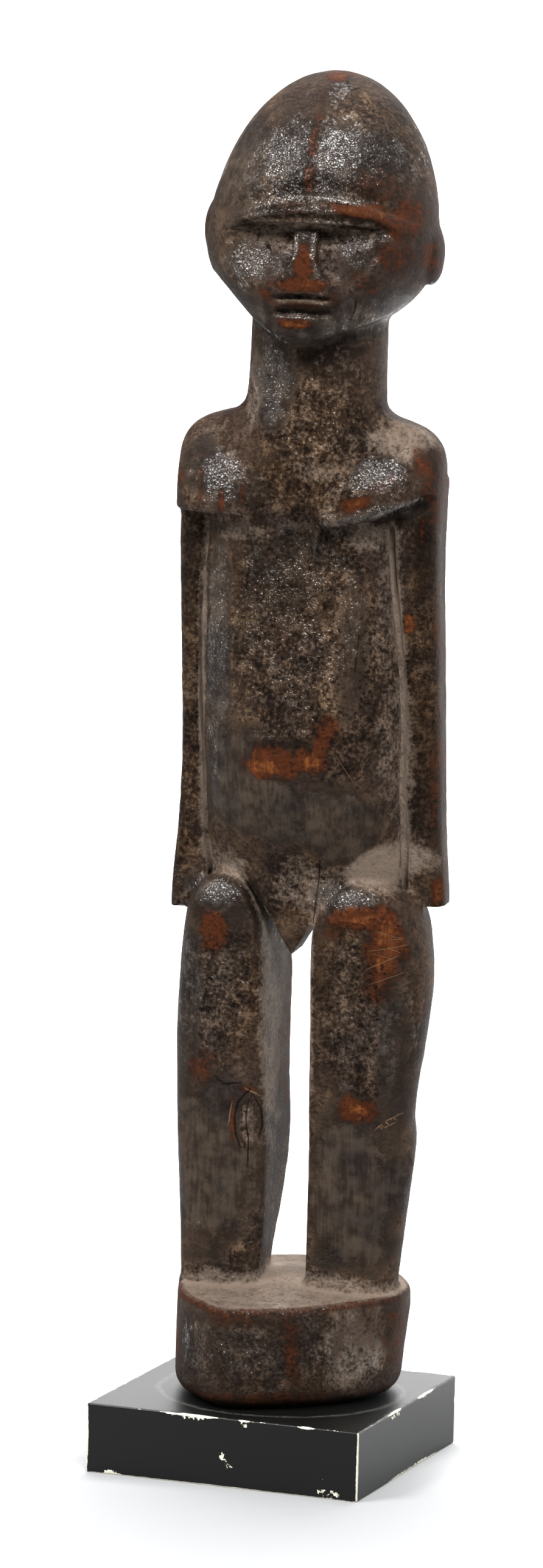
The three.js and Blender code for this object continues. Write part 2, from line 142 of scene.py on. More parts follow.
ARM = [
    (140, 31.6, 5, -4, 6.6, 4),
    (150, 31.2, 5.2, -4.2, 7, 4),
    (170, 28.6, 6.4, -5, 9, 4),
    (200, 27.8, 6.5, -5.6, 10, 4),
    (230, 27.8, 6.5, -6, 11, 4),
    (256, 27.8, 6.6, -6.6, 12, 4),
]
NECK_LOW, NECK_TOP = 262, 318
NECK = [
    (262, 0, 20, -17, 15, 2.2),
    (272, 0, 18.7, -15.4, 15, 2.2),
    (283, 0, 17.9, -14.3, 15, 2.2),
    (296, 0, 17.7, -14, 15.6, 2.2),
    (316, 0, 17.7, -10, 16, 2.2),
]

# Trunk and arms run up into the shoulders. The seat hangs lower behind, the groin is sunk left of the flap
TRUNK_OVERLAP = 6
ARM_OVERLAP = 10
ARM_END_ROUND = 0.6
SEAT_DROP = 0.3
SEAT_RANGE = (2, 12)
GROIN_DEPTH = 5.5
GROIN_EDGE = (-0.6, 2)
GROIN_FADE = (149, 157)
GROIN_SIDE = (-18, -13)

# The flap's slanted edges: a place on each (sideways, height) and the way it faces (sideways, down)
FLAP_LEFT = (-9.4, 146, -0.846, 0.533)
FLAP_RIGHT = (3.4, 143.5, 0.857, 0.515)
FLAP_TOP = 158
FLAP_MIDDLE_Y = -4.4
FLAP_HALF = 7.1

# The shoulders fall away outside their flat part. The breast's ledges rise outwards and leave a gap between
SHOULDER_FLAT = 16
SHOULDER_FALL = 0.28
SHOULDER_LEAN = 0.02
SHOULDER_ROUND = 8
GAP_LEFT = (-14.5, -10)
GAP_RIGHT = (2, 7)
GAP_DROP = 14
GAP_SLOPE = 0.3
GAP_TOP = 258
RISE_RIGHT, RISE_RIGHT_RANGE = 7, (9, 30)
RISE_LEFT, RISE_LEFT_RANGE = 0.6, (14, 34)
ROLL_PATH = [(8, -16.8, 248.8), (19, -15.2, 251.8), (28, -10.8, 255.6)]
ROLL_RADII = (2.7, 2.4)

# Head: a pointed dome that leans back with a keel down the forehead, a sunk face and a wedge of a jaw
HEAD_WIDEST = 318.5
DOME_HALF = (30, 27.5, CROWN - HEAD_WIDEST)
DOME_BACK = 24
DOME_BELOW = 23.2
DOME_MIDDLE_Y = 1
DOME_LEAN = 0.33
KEEL_RISE = 0.7
KEEL_HALF = 2.3
KEEL_RANGE = (327, 338)
KEEL_FADE = (-14, -2)
JAW_MIDDLE = (0, -6.5, 305.5)
JAW_HALF = (19, 16.2, 18)
JAW_BLEND = 6
EAR_MIDDLE = (28, 3.5, 318.6)
EAR_HALF = (3.3, 8, 8.2)
EAR_LEAN = 0.07
EAR_FRONT = -3
EAR_FRONT_LEAN = 0.1
EAR_LEVEL = 318
FACE_FRONT = -17.8
FACE_FORWARD = 0.38
CHEEK_SLOPE, CHEEK_START = 0.08, 3
CHEEK_END, CHEEK_OUTSIDE = 0.3, 13
EYE_LINE = 321

# The lower edge of the jaw, and the crest and the lower edge of the brow band: sideways place, height
CHIN_EDGE = [
    (-26, 310), (-14.5, 299.6), (-8.4, 295.2), (-3.5, 293), (0, 292.7),
    (4.2, 294.6), (8.1, 296.3), (15, 298.8), (20, 301), (28, 306),
]
BROW_CREST = [
    (-27, 321.5), (-20.3, 326.1), (-10.5, 329.8), (-0.4, 332),
    (6.8, 331.4), (13.6, 330.3), (26.3, 325), (31, 321),
]
BROW_EDGE = [(-27, 319.5), (-17, 323.9), (-9, 326.2), (0, 327.4), (9, 327.2), (18, 325.6), (27, 321.5)]
BROW_PROUD = 2
BROW_MIDDLE = 2
BROW_FADE = (14, 26)
BROW_BACK = -4
BROW_SLIT = 323.6
SLIT_DEPTH = 1.2
SLIT_BOW = 0.0025
BEVEL_DOWN, BEVEL_FRONT = 0.75, 0.66
BEVEL_Y = -24.4
BEVEL_BOW = 0.0148
HOLLOW_ABOVE, HOLLOW_HALF = 1.2, 2.2
HOLLOW_FADE = (-12, 0)

# The front of nose and mouth in profile: height and how far forward it stands
NOSE_LINE = [(306, -25.2), (308.5, -25.6), (311, -25.4), (316, -23.8), (322.5, -20.9), (326, -19.4)]
MOUTH_LINE = [
    (288, -17.6), (291, -19.4), (294, -21.2), (297.2, -22.9), (300.3, -24.3), (300.9, -24.1),
    (301.9, -22.4), (302.6, -22.9), (304.3, -25.3), (304.9, -25.3), (305.9, -22.9), (306.4, -22.8),
    (306.8, -25), (309, -25.1), (312, -24.5),
]
MUZZLE_Z = [288, 292, 297.2, 300.6, 304.6, 309, 312]
MUZZLE_Y = [-17.6, -20, -22.9, -24.3, -25.2, -25.3, -24.9]
MOUTH_OPEN = 4.8
MOUTH_HALF = 9.2
MUZZLE_HALF = 10
MUZZLE_X = 0.2
MUZZLE_TOP = 312.4
MUZZLE_BACK = -8
MUZZLE_TAPER, TAPER_TOP = 0.14, 306
MUZZLE_FALL, MUZZLE_FALL_RIGHT, MUZZLE_FLAT = 0.5, 0.2, 4
MUZZLE_BOW = (0.01, 0.0009)
MUZZLE_ROUND = 4
MOUTH_BLEND, MOUTH_BLEND_MORE, MOUTH_BLEND_RANGE = 0.8, 3.2, (7.5, 10.5)
MOUTH_BEND_Z = [299.5, 304.5, 307, 309]
MOUTH_BEND = [-0.006, 0.012, 0.012, 0]
NOSE_X = 0.1
NOSE_HALF = 3.1
NOSE_SPREAD = 2.6
NOSE_FLARE = (-316.5, -309.5)
NOSE_LOW, NOSE_HIGH = 306.7, 324.4
NOSE_BACK = -12
BRIDGE_FALL = 0.1

# Factors that keep the distance true on slanted faces
TRUE_DISC, TRUE_SHOULDER, TRUE_MUZZLE, TRUE_SIDES, TRUE_CHIN = 0.96, 0.95, 0.9, 0.95, 0.88

# Fineness of the carved skin: from, to, step along each direction
TICKS_X = [(-38, 40, 0.8)]
TICKS_Y = [(-38, -8, 0.8), (-8, 36, 1.3)]
TICKS_Z = [(14, 78, 1.35), (78, 104, 1.0), (104, 288, 1.35), (288, 334, 0.52), (334, 366, 1.15)]


# Blended distances: the union, the common part, and the first less the second, rounded over a soft width
def join(a, b, soft):
    overlap = np.maximum(soft - np.abs(a - b), 0)
    return np.minimum(a, b) - overlap * overlap / (4 * soft)


def meet(a, b, soft):
    return -join(-a, -b, soft)


def carve(a, b, soft):
    return meet(a, -b, soft)


def ease(low, high, value):
    """Rises smoothly from 0 at low to 1 at high."""
    t = np.clip((value - low) / (high - low), 0, 1)
    return t * t * (3 - 2 * t)


def along(stations, z, item):
    """A value along the stations of a column, on a smooth curve through them."""
    heights = np.array([row[0] for row in stations], float)
    values = np.array([row[item] for row in stations], float)
    last = len(stations) - 1
    before = np.maximum(np.arange(last + 1) - 1, 0)
    after = np.minimum(np.arange(last + 1) + 1, last)
    slopes = (values[after] - values[before]) / (heights[after] - heights[before])
    level = np.clip(z, heights[0], heights[-1])
    i = np.clip(np.searchsorted(heights, level, side="right") - 1, 0, last - 1)
    span = heights[i + 1] - heights[i]
    t = (level - heights[i]) / span
    rise = values[i + 1] - values[i]
    start = slopes[i] * span
    end = slopes[i + 1] * span
    return values[i] + t * (start + t * (3 * rise - 2 * start - end + t * (start + end - 2 * rise)))


def column(stations, x, y, z):
    """A column whose cross-section is a squared oval."""
    middle, half, front, back, square = (along(stations, z, item) for item in range(1, 6))
    dx = x - middle
    dy = y - (front + back) / 2
    depth = (back - front) / 2
    reach = (np.abs(dx / half) ** square + np.abs(dy / depth) ** square) ** (1 / square)
    far = np.hypot(dx, dy)
    return far - far / np.maximum(reach, 1e-6)


def egg(x, y, z, half):
    """An egg shape with half axes."""
    near = np.sqrt((x / half[0]) ** 2 + (y / half[1]) ** 2 + (z / half[2]) ** 2)
    steep = np.sqrt((x / half[0] ** 2) ** 2 + (y / half[1] ** 2) ** 2 + (z / half[2] ** 2) ** 2)
    return near * (near - 1) / np.maximum(steep, 1e-6)


def slab(x, y, z, half, rounding):
    """A box with rounded edges."""
    q = [np.abs(v) - h + rounding for v, h in zip((x, y, z), half)]
    outside = np.sqrt(np.maximum(q[0], 0) ** 2 + np.maximum(q[1], 0) ** 2 + np.maximum(q[2], 0) ** 2)
    return outside + np.minimum(np.maximum(np.maximum(q[0], q[1]), q[2]), 0) - rounding


def foot_disc(x, y, z):
    """The round foot with hewn sides and a low mound between the feet."""
    dx = x - DISC_MIDDLE[0]
    dy = y - DISC_MIDDLE[1]
    side = None
    for direction, distance, taper in DISC_FACETS:
        turn = math.radians(direction)
        drawn_in = distance - taper * np.maximum(DISC_WAIST - z, 0)
        facet = dx * math.cos(turn) + dy * math.sin(turn) - drawn_in
        side = facet if side is None else meet(side, facet, DISC_CORNER)
    across = (x - MOUND_MIDDLE[0]) / MOUND_HALF[0]
    along_y = (y - MOUND_MIDDLE[1]) / MOUND_HALF[1]
    mound = MOUND * np.exp(-(across**2) - along_y**2)
    top = (z - RIM - TOP_SLOPE * (y - DISC_FRONT) - mound) * TRUE_DISC
    return meet(meet(side, top, DISC_EDGE), SEAT - z, DISC_FOOT_ROUND)


def leg(stations, inner, knob, side, x, y, z):
    """One leg, hewn flat on its inner side, whose thigh ends in a round knob."""
    middle, top, inward, outward = knob
    dx = side * (x - middle)
    end = z - top + inward * np.minimum(dx, 0) ** 2 + outward * np.maximum(dx, 0) ** 2
    form = meet(column(stations, x + side * LEG_SKEW * (y - LEG_AXIS_Y), y, z), end, KNOB_ROUND)
    share = (y - CORNER_Y) / INNER_DEPTH
    face = along(inner, z, 1) * (1 - share) + along(inner, z, 2) * share
    return meet(meet(form, side * (face - x), CORNER_ROUND), LEG_LOW - z, 1)


def beyond(edge, x, z):
    """How far a place lies outside one slanted edge of the flap."""
    place_x, place_z, across, down = edge
    return (x - place_x) * across - (z - place_z) * down


def hips(x, y, z):
    """The trunk, sunk beside the flap so that the flap's left edge stands free."""
    crotch = CROTCH - z - SEAT_DROP * np.maximum(y - SEAT_RANGE[0], 0) * ease(*SEAT_RANGE, y)
    sunk = GROIN_DEPTH * ease(*GROIN_EDGE, beyond(FLAP_LEFT, x, z))
    sunk = sunk * (1 - ease(*GROIN_FADE, z)) * ease(*GROIN_SIDE, x)
    trunk = meet(column(TORSO, x, y, z), along(TORSO, z, 3) + sunk - y, 1)
    return meet(meet(trunk, crotch, 4), z - LEDGE - TRUNK_OVERLAP, 1)


def flap(x, y, z):
    """The pointed flap that hangs at the crotch."""
    wedge = meet(beyond(FLAP_LEFT, x, z), beyond(FLAP_RIGHT, x, z), 0.6)
    return meet(meet(wedge, z - FLAP_TOP, 1), np.abs(y - FLAP_MIDDLE_Y) - FLAP_HALF, 0.9)


def rod(x, y, z, start, end, radius):
    """A straight rod with round ends."""
    line = np.subtract(end, start)
    share = ((x - start[0]) * line[0] + (y - start[1]) * line[1] + (z - start[2]) * line[2]) / (line @ line)
    share = np.clip(share, 0, 1)
    off = [v - s - share * d for v, s, d in zip((x, y, z), start, line)]
    return np.sqrt(off[0] ** 2 + off[1] ** 2 + off[2] ** 2) - radius


def yoke(x, y, z):
    """Shoulders and breast: a ledge below each breast, none in the middle, a rolled edge on the right."""
    slope = SHOULDER - SHOULDER_FALL * np.maximum(np.abs(x) - SHOULDER_FLAT, 0) - SHOULDER_LEAN * x
    top = (z - slope) * TRUE_SHOULDER
    middle = ease(*GAP_LEFT, x) * (1 - ease(*GAP_RIGHT, x))
    rise = RISE_RIGHT * ease(*RISE_RIGHT_RANGE, x) + RISE_LEFT * ease(*RISE_LEFT_RANGE, -x)
    low = LEDGE + rise - z - GAP_DROP * middle
    sunk = column(YOKE, x, y, z) + middle * GAP_SLOPE * np.maximum(GAP_TOP - z, 0)
    form = meet(meet(sunk, top, SHOULDER_ROUND), low, 1.2)
    inner, bend, outer = ROLL_PATH
    roll = join(rod(x, y, z, inner, bend, ROLL_RADII[0]), rod(x, y, z, bend, outer, ROLL_RADII[1]), 1)
    return join(form, roll, 0.8)


def arm(x, y, z):
    """Both arms, cut off flat at the wrists."""
    form = meet(column(ARM, np.abs(x), y, z), ARM_END + ARM_TILT * x - z, ARM_END_ROUND)
    return meet(form, z - LEDGE - ARM_OVERLAP, 1)


def dome(x, y, z):
    """The skull leans back, with its own depth behind and its own height below."""
    lean = DOME_MIDDLE_Y + DOME_LEAN * np.maximum(z - HEAD_WIDEST, 0)
    dy = y - lean
    dz = z - HEAD_WIDEST
    deep = np.where(dy > 0, DOME_BACK, DOME_HALF[1])
    high = np.where(dz > 0, DOME_HALF[2], DOME_BELOW)
    return egg(x, dy, dz, (DOME_HALF[0], deep, high))


def line_at(points, place):
    """The height of a given line at a place along it."""
    return np.interp(place, [p[0] for p in points], [p[1] for p in points])


def ears(x, y, z):
    """Two low ears whose front edges are cut square."""
    middle_x, middle_y, middle_z = EAR_MIDDLE
    lobe = egg(np.abs(x) - middle_x, y - middle_y, z - middle_z + EAR_LEAN * x, EAR_HALF)
    return meet(lobe, EAR_FRONT - y + EAR_FRONT_LEAN * (z - EAR_LEVEL), 0.5)


def brow_part(x):
    """1 along the middle of the brow, fading to 0 at its ends."""
    return 1 - ease(*BROW_FADE, np.abs(x - BROW_MIDDLE))


def brow(x, y, z, skull):
    """The band over the eyes stands proud of the skull and is bevelled below."""
    crest = line_at(BROW_CREST, x)
    edge = line_at(BROW_EDGE, x)
    low = (edge - z) * BEVEL_DOWN - (y - BEVEL_Y - BEVEL_BOW * x * x) * BEVEL_FRONT
    band = meet(meet(skull - BROW_PROUD * brow_part(x), z - crest, 0.6), low, 0.5)
    return meet(meet(band, y - BROW_BACK, 2), BROW_SLIT - SLIT_BOW * x * x - z, 0.3)


def chin_edge(x, z):
    """How far a place lies below the lower edge of the jaw."""
    return (line_at(CHIN_EDGE, x) - z) * TRUE_CHIN


def mouth(x, y, z):
    """A wedge of a muzzle with the slot of the mouth, a lower lip and a chin ledge."""
    side = np.abs(x - MUZZLE_X)
    bend = np.interp(z, MOUTH_BEND_Z, MOUTH_BEND)
    grooved = along(MOUTH_LINE, z + bend * side * side, 1)
    plain = np.interp(z, MUZZLE_Z, MUZZLE_Y)
    front = plain + (grooved - plain) * (1 - ease(MOUTH_OPEN, MOUTH_HALF, side))
    back = MUZZLE_BOW[0] * side * side + MUZZLE_BOW[1] * side**3
    form = (front + back - y) * TRUE_MUZZLE
    top = z - MUZZLE_TOP + MUZZLE_FALL * np.maximum(side - MUZZLE_FLAT, 0)
    top = top + MUZZLE_FALL_RIGHT * np.maximum(x - MUZZLE_FLAT, 0)
    sides = (side - MUZZLE_HALF + MUZZLE_TAPER * np.maximum(TAPER_TOP - z, 0)) * TRUE_SIDES
    return meet(meet(meet(form, top, 0.6), sides, MUZZLE_ROUND), y - MUZZLE_BACK, 2)


def head(x, y, z):
    """Skull and jaw with ears, sunk face, brow, nose and mouth."""
    keel = np.exp(-((x / KEEL_HALF) ** 2)) * ease(*KEEL_RANGE, z) * ease(*KEEL_FADE, -y)
    above = z - line_at(BROW_CREST, x)
    hollow = np.exp(-(((above - HOLLOW_ABOVE) / HOLLOW_HALF) ** 2))
    hollow = hollow * ease(*HOLLOW_FADE, -y) * brow_part(x)
    skull = dome(x, y, z)
    jaw = egg(x, y - JAW_MIDDLE[1], z - JAW_MIDDLE[2], JAW_HALF)
    form = join(skull - KEEL_RISE * keel + hollow, jaw, JAW_BLEND)
    form = join(form, ears(x, y, z), 0.8)

    # The sunk face below the brow leans forward to the mouth
    aside = np.abs(x)
    cheek = CHEEK_SLOPE * np.maximum(aside - CHEEK_START, 0)
    cheek_end = CHEEK_END * np.maximum(aside - CHEEK_OUTSIDE, 0)
    plane = FACE_FRONT - FACE_FORWARD * (EYE_LINE - z) + cheek - cheek_end
    slit = BROW_SLIT + SLIT_DEPTH - SLIT_BOW * x * x
    form = carve(form, meet(y - plane, z - slit, 0.6), 1)
    form = join(form, brow(x, y, z, skull), 0.3)

    # The nose is a narrow flat-topped wedge that runs down into the upper lip
    spread = NOSE_HALF + NOSE_SPREAD * ease(*NOSE_FLARE, -z)
    bridge = line_at(NOSE_LINE, z) + BRIDGE_FALL * np.abs(x)
    nose = meet(np.abs(x - NOSE_X) - spread, bridge - y, 0.5)
    nose = meet(nose, meet(NOSE_LOW - z, z - NOSE_HIGH, 0.6), 0.5)
    form = join(form, meet(nose, y - NOSE_BACK, 1), 0.5)
    form = join(form, mouth(x, y, z), MOUTH_BLEND + MOUTH_BLEND_MORE * ease(*MOUTH_BLEND_RANGE, aside))
    return meet(form, chin_edge(x, z), 1.1)


def figure_distance(place, y, z):
    """The whole figure in its own frame, facing -y, with a groove carved where the arms meet the trunk."""
    x = place - along(SWAY, z, 1)
    left = leg(LEFT_LEG, LEFT_INNER, LEFT_KNOB, -1, x, y, z)
    right = leg(RIGHT_LEG, RIGHT_INNER, RIGHT_KNOB, 1, x, y, z)
    trunk = hips(x, y, z)
    arms = arm(x, y, z)
    body = join(join(left, right, 1), trunk, 1.6)
    body = join(body, flap(x, y, z), 0.8)
    body = join(body, arms, 1.2)
    past = np.maximum(np.maximum(GROOVE_LOW - z, z - GROOVE_HIGH), 0) + np.maximum(y - GROOVE_BACK, 0)
    body = carve(body, np.sqrt(trunk * trunk + arms * arms + past * past) - GROOVE, 0.5)
    body = join(body, yoke(x, y, z), 2.2)
    body = join(body, foot_disc(x, y, z), 2)
    neck = meet(meet(column(NECK, x, y, z), NECK_LOW - z, 3), z - NECK_TOP, 1)
    return join(body, join(neck, head(x, y, z), 1.6), 3.5)


def ticks(stretches):
    """Places along one direction, from stretches of even steps."""
    places = []
    for start, stop, step in stretches:
        places.extend(np.linspace(start, stop, max(round((stop - start) / step), 1), endpoint=False))
    return np.array(places + [stretches[-1][1]])


def skin(distance, xs, ys, zs):
    """A closed skin of quads around a distance: one point in each cell that the surface crosses."""
    values = distance(xs[:, None, None], ys[None, :, None], zs[None, None, :])
    inside = values < 0
    size = np.array(values.shape)
    corners = np.array(list(itertools.product((0, 1), repeat=3)))
    held = np.zeros(size - 1, int)
    for a, b, c in corners:
        held += inside[a : size[0] - 1 + a, b : size[1] - 1 + b, c : size[2] - 1 + c]
    cells = np.argwhere((held > 0) & (held < 8))
    ticks_of = (xs, ys, zs)
    total = np.zeros((len(cells), 3))
    count = np.zeros(len(cells))
    for a, b in itertools.combinations(range(8), 2):
        if np.abs(corners[a] - corners[b]).sum() != 1:
            continue
        at_a = cells + corners[a]
        at_b = cells + corners[b]
        va = values[tuple(at_a.T)]
        vb = values[tuple(at_b.T)]
        crossed = (va < 0) != (vb < 0)
        share = np.where(crossed, va / np.where(crossed, va - vb, 1), 0)
        from_a = np.stack([ticks_of[n][at_a[:, n]] for n in range(3)], axis=1)
        from_b = np.stack([ticks_of[n][at_b[:, n]] for n in range(3)], axis=1)
        total += (from_a + share[:, None] * (from_b - from_a)) * crossed[:, None]
        count += crossed
    number = np.full(size, -1)
    number[tuple(cells.T)] = np.arange(len(cells))
    steps = np.eye(3, dtype=int)
    quads = []
    for n in range(3):
        along_n = np.moveaxis(inside, n, 0)
        change = np.argwhere(along_n[:-1] != along_n[1:])
        here = np.empty_like(change)
        others = [m for m in range(3) if m != n]
        here[:, n] = change[:, 0]
        here[:, others[0]] = change[:, 1]
        here[:, others[1]] = change[:, 2]
        u, v = steps[(n + 1) % 3], steps[(n + 2) % 3]
        around = ((0, 0), (1, 0), (1, 1), (0, 1))
        ring = np.stack([number[tuple((here - p * u - q * v).T)] for p, q in around], axis=1)
        out = inside[tuple(here.T)]
        quads.append(np.where(out[:, None], ring, ring[:, ::-1]))
    return total / count[:, None], np.concatenate(quads)


def steepest(distance, points, step=0.05):
    """The direction in which a distance grows fastest, and how steeply."""
    slope = np.empty_like(points)
    for n in range(3):
        off = np.zeros(3)
        off[n] = step
        slope[:, n] = distance(*(points + off).T) - distance(*(points - off).T)
    return slope / (2 * step)


def facing(distance, points, step):
    """The way the surface faces at each point."""
    slope = steepest(distance, points, step)
    return slope / np.maximum(np.linalg.norm(slope, axis=1, keepdims=True), 1e-6)


def settle(distance, points, rounds=4, reach=0.8):
    """Moves points onto the surface along its steepest direction."""
    for _ in range(rounds):
        slope = steepest(distance, points)
        steep = np.maximum((slope * slope).sum(axis=1, keepdims=True), 0.05)
        move = -distance(*points.T)[:, None] * slope / steep
        length = np.linalg.norm(move, axis=1, keepdims=True)
        points = points + move * np.minimum(1, reach / np.maximum(length, 1e-9))
    return points


# Noise for carving marks and patches
LATTICE = 32


def cloud(points, size, seed, octaves):
    """Smooth noise between about -1 and 1, with lumps of the given size in millimetres."""
    total = np.zeros(len(points))
    weight, whole = 1.0, 0.0
    for octave in range(octaves):
        grid = np.random.default_rng(seed * 31 + octave).uniform(-1, 1, (LATTICE,) * 3)
        place = points * (2**octave) / np.asarray(size, float) + 0.37 * seed
        base = np.floor(place).astype(int)
        part = place - base
        part = part * part * (3 - 2 * part)
        level = np.zeros(len(points))
        for corner in itertools.product((0, 1), repeat=3):
            share = np.prod(np.where(corner, part, 1 - part), axis=1)
            at = (base + corner) % LATTICE
            level += share * grid[at[:, 0], at[:, 1], at[:, 2]]
        total += weight * level
        whole += weight
        weight *= 0.55
    return 1.5 * total / whole


def facets(points, size, seed):
    """Shallow scallops such as a blade leaves: 0 at a cell's middle, rising to about 1 at its edge."""
    place = points / np.asarray(size, float) + 0.71 * seed
    base = np.floor(place).astype(int)
    grid = np.random.default_rng(seed).random((LATTICE, LATTICE, LATTICE, 3))
    nearest = np.full(len(points), 9.0)
    for corner in itertools.product((-1, 0, 1), repeat=3):
        at = base + corner
        wrapped = at % LATTICE
        middle = at + grid[wrapped[:, 0], wrapped[:, 1], wrapped[:, 2]]
        nearest = np.minimum(nearest, ((place - middle) ** 2).sum(axis=1))
    return np.minimum(nearest, 1.2)


# Patches of the patina, as middle x, height, half width, half height, lean in degrees and strength
WORN = [
    (13.7, 328.4, 8.6, 2, -8, 1.0), (-4, 328.7, 5.5, 1.7, 6, 0.45), (21, 325.5, 5, 2.2, -24, 0.8),
    (0.4, 314, 2.9, 6, 0, 0.95), (-0.6, 309.4, 9.6, 2.1, 0, 0.95), (0, 304, 8, 1, 0, 0.55),
    (-9.6, 306, 3, 3.4, 20, 0.6), (-1.8, 299.2, 6, 1.5, 0, 1.0), (8.6, 305.8, 2.4, 3, 0, 0.5),
    (18, 334, 9, 4.4, -20, 0.5), (24, 326, 5, 6.5, 0, 0.75), (22.5, 316.5, 6, 5, -30, 0.65),
    (15.5, 310, 5, 2.8, -30, 0.55), (29.6, 316, 2.6, 5, 0, 0.7), (1.6, 361, 4, 1.6, 0, 0.8),
    (0.1, 354, 1.5, 5.5, 0, 0.55), (-0.1, 345, 1.4, 6, 0, 0.7), (0.1, 336, 2.2, 5, 0, 0.7),
    (14, 253.2, 4.4, 2.4, 8, 1.0), (22, 258.5, 8.5, 2.6, 33, 0.5), (30.5, 264, 5, 4.5, 40, 0.6),
    (33, 256, 3.2, 9, 0, 0.6), (-27.1, 257, 0.7, 6.5, 0, 0.7), (-21.2, 252.6, 0.9, 4.5, 0, 0.8),
    (-15.6, 254, 0.8, 5.5, 0, 0.7), (-33.4, 257.8, 1.6, 4, 0, 0.6), (29.6, 246, 1.1, 5, 0, 0.7),
    (34.2, 216, 2, 11, 0, 0.5), (34.8, 180, 2, 24, 0, 0.55), (36, 151.6, 1.8, 4.6, 0, 1.0),
    (-3.7, 217, 5, 4.4, 0, 0.3), (8, 226, 3.5, 5, 0, 0.25), (26.9, 222.3, 2.2, 3.4, 0, 0.9),
    (-5.4, 185.6, 9.6, 4.6, -3, 1.0), (4.6, 186.8, 5.4, 4, 12, 0.95), (8.2, 193.4, 3.4, 5.6, -14, 0.8),
    (-21, 141.2, 4, 6, 4, 0.9), (19.5, 146, 11, 3.6, 4, 0.95), (10.4, 142.6, 3.6, 3.4, 0, 0.6),
    (25, 139, 5.6, 10, -4, 0.95), (23, 129, 5.4, 6, 0, 0.65), (-23.4, 103.6, 4.6, 6, 0, 0.55),
    (17.8, 95.2, 6, 4.2, 0, 0.95), (-30, 75, 2, 14, 0, 0.3), (-14.8, 90, 0.9, 8, 0, 0.7),
    (-11, 98.8, 3.4, 1.2, 0, 0.6), (-4.8, 112, 1.2, 30, 0, 0.6), (6, 34, 2.6, 12, 4, 0.62),
    (-27.5, 33, 2.2, 12, 0, 0.7), (17, 36, 1.8, 7, -8, 0.5), (-8, 42, 14, 1.6, 0, 0.5),
    (22, 38, 5, 6, 0, 0.45), (0, 21.5, 32, 2.2, 0, 0.6), (29, 34, 2.8, 11, 3, 0.6),
]
EMBER = [
    (15, 328, 8, 1.1, -9, 0.4), (2, 310, 5, 1.8, 0, 0.35), (-1.2, 299.1, 5.6, 0.9, 0, 0.6),
    (1.6, 361.4, 3.6, 1.2, 0, 0.4), (-7, 184.6, 5.6, 2, -4, 0.62), (4.6, 186.4, 3.4, 2.2, 14, 0.62),
    (36, 151.8, 1.4, 4, 0, 0.5), (20.6, 145.8, 8, 2, 4, 0.4), (25.2, 139, 4.4, 8.6, -4, 0.4),
    (-21, 141.2, 2.4, 3.6, 0, 0.3), (17.8, 95.6, 3.8, 1.9, 0, 0.5), (26.9, 222.3, 1.8, 2.8, 0, 0.7),
    (13.6, 253.2, 3, 1.2, 8, 0.35), (7.4, 34, 1, 10, 0, 0.3),
]
CRUST = [
    (4, 266, 14, 17, 0, 1.0), (-2, 225, 17, 34, 0, 1.0), (14, 205, 11, 30, 0, 0.8),
    (2, 196, 17, 8, 0, 0.9), (0, 336, 26, 9, 0, 0.8), (12, 344, 16, 12, 0, 0.7),
    (-20, 126, 12, 20, 0, 0.9), (19, 122, 13, 24, 0, 0.9), (-31, 200, 5, 55, 0, 0.8),
    (31, 205, 6, 50, 0, 0.7), (-17, 58, 9, 8, 0, 0.5), (0, 32, 30, 12, 0, 0.35), (0, 324, 22, 4, 0, 0.3),
    (0, 152, 14, 8, 0, 0.6),
]
# Dust patches. The two just below the eye slit, at height 319.6, are dust that also stands in as painted
# light over the shade under the brow
DUST = [
    (-13, 316, 6, 7, 0, 0.3), (8, 315, 4, 6, 0, 0.28), (0, 324.6, 18, 1.2, 0, 0.45),
    (-10, 319.6, 6.4, 3.4, 0, 0.35), (11.5, 319.6, 7, 3.4, 0, 0.3), (24, 158.5, 12, 6, 12, 0.95),
    (-19, 158.5, 9, 4.5, -10, 0.5), (18, 243.5, 9, 4, 10, 0.6), (-17, 244.5, 8, 3, 0, 0.6),
    (22, 225, 4.2, 26, 4, 0.45), (25, 188, 4.2, 32, 4, 0.45), (-26.8, 205, 1.6, 40, 0, 0.7),
    (24, 269, 10, 6.5, 0, 0.75), (-24, 268, 9, 6, 0, 0.35), (2, 153, 9, 9, 0, 0.5),
    (-6.5, 115, 2.4, 34, 0, 0.6), (7, 284, 9, 9, 0, 0.35), (-14, 283, 4, 12, 0, 0.6),
    (8, 262, 10, 12, 0, 0.35), (4.6, 110, 1.8, 42, 0, 0.6), (0, 48, 34, 3.4, 0, 0.5),
    (20, 34, 10, 12, 0, 0.6), (-12, 60, 8, 8, 0, 0.3), (-11, 90, 2.4, 7, 0, 0.55),
]
SMOOTH = [
    (-21.5, 215, 4, 36, 2, 0.8), (-15, 183, 9, 14, 0, 0.8), (-8, 174, 17, 9, -14, 1.0),
    (10, 170, 13, 10.5, -22, 1.0), (-20.5, 76, 13, 25, 0, 0.9), (17, 72, 13.5, 25, 0, 0.9),
    (12, 300, 17, 6, 20, 0.9), (-14, 300, 10, 6, -20, 0.6), (-20, 340, 10, 16, 0, 0.8),
    (-27, 262, 8, 9, 0, 0.6), (24, 250.5, 9, 2.2, 16, 0.9), (-8, 341, 8, 8, 0, 0.6),
    (7, 343, 8, 8, 0, 0.6), (20, 262, 10, 5, 28, 0.8), (-22, 150, 9, 5, 0, 0.8),
    (13, 150, 11, 4.6, 0, 0.8), (-28, 120, 5, 34, 0, 0.6), (27, 110, 5, 40, 0, 0.45),
    (14, 215, 6, 20, 0, 0.35), (0.1, 320.5, 2.4, 4, 0, 0.6), (-13, 315.5, 9, 7, 0, 0.55),
    (11, 315.5, 8, 7, 0, 0.5), (-10, 283, 7, 12, 0, 0.85),
]
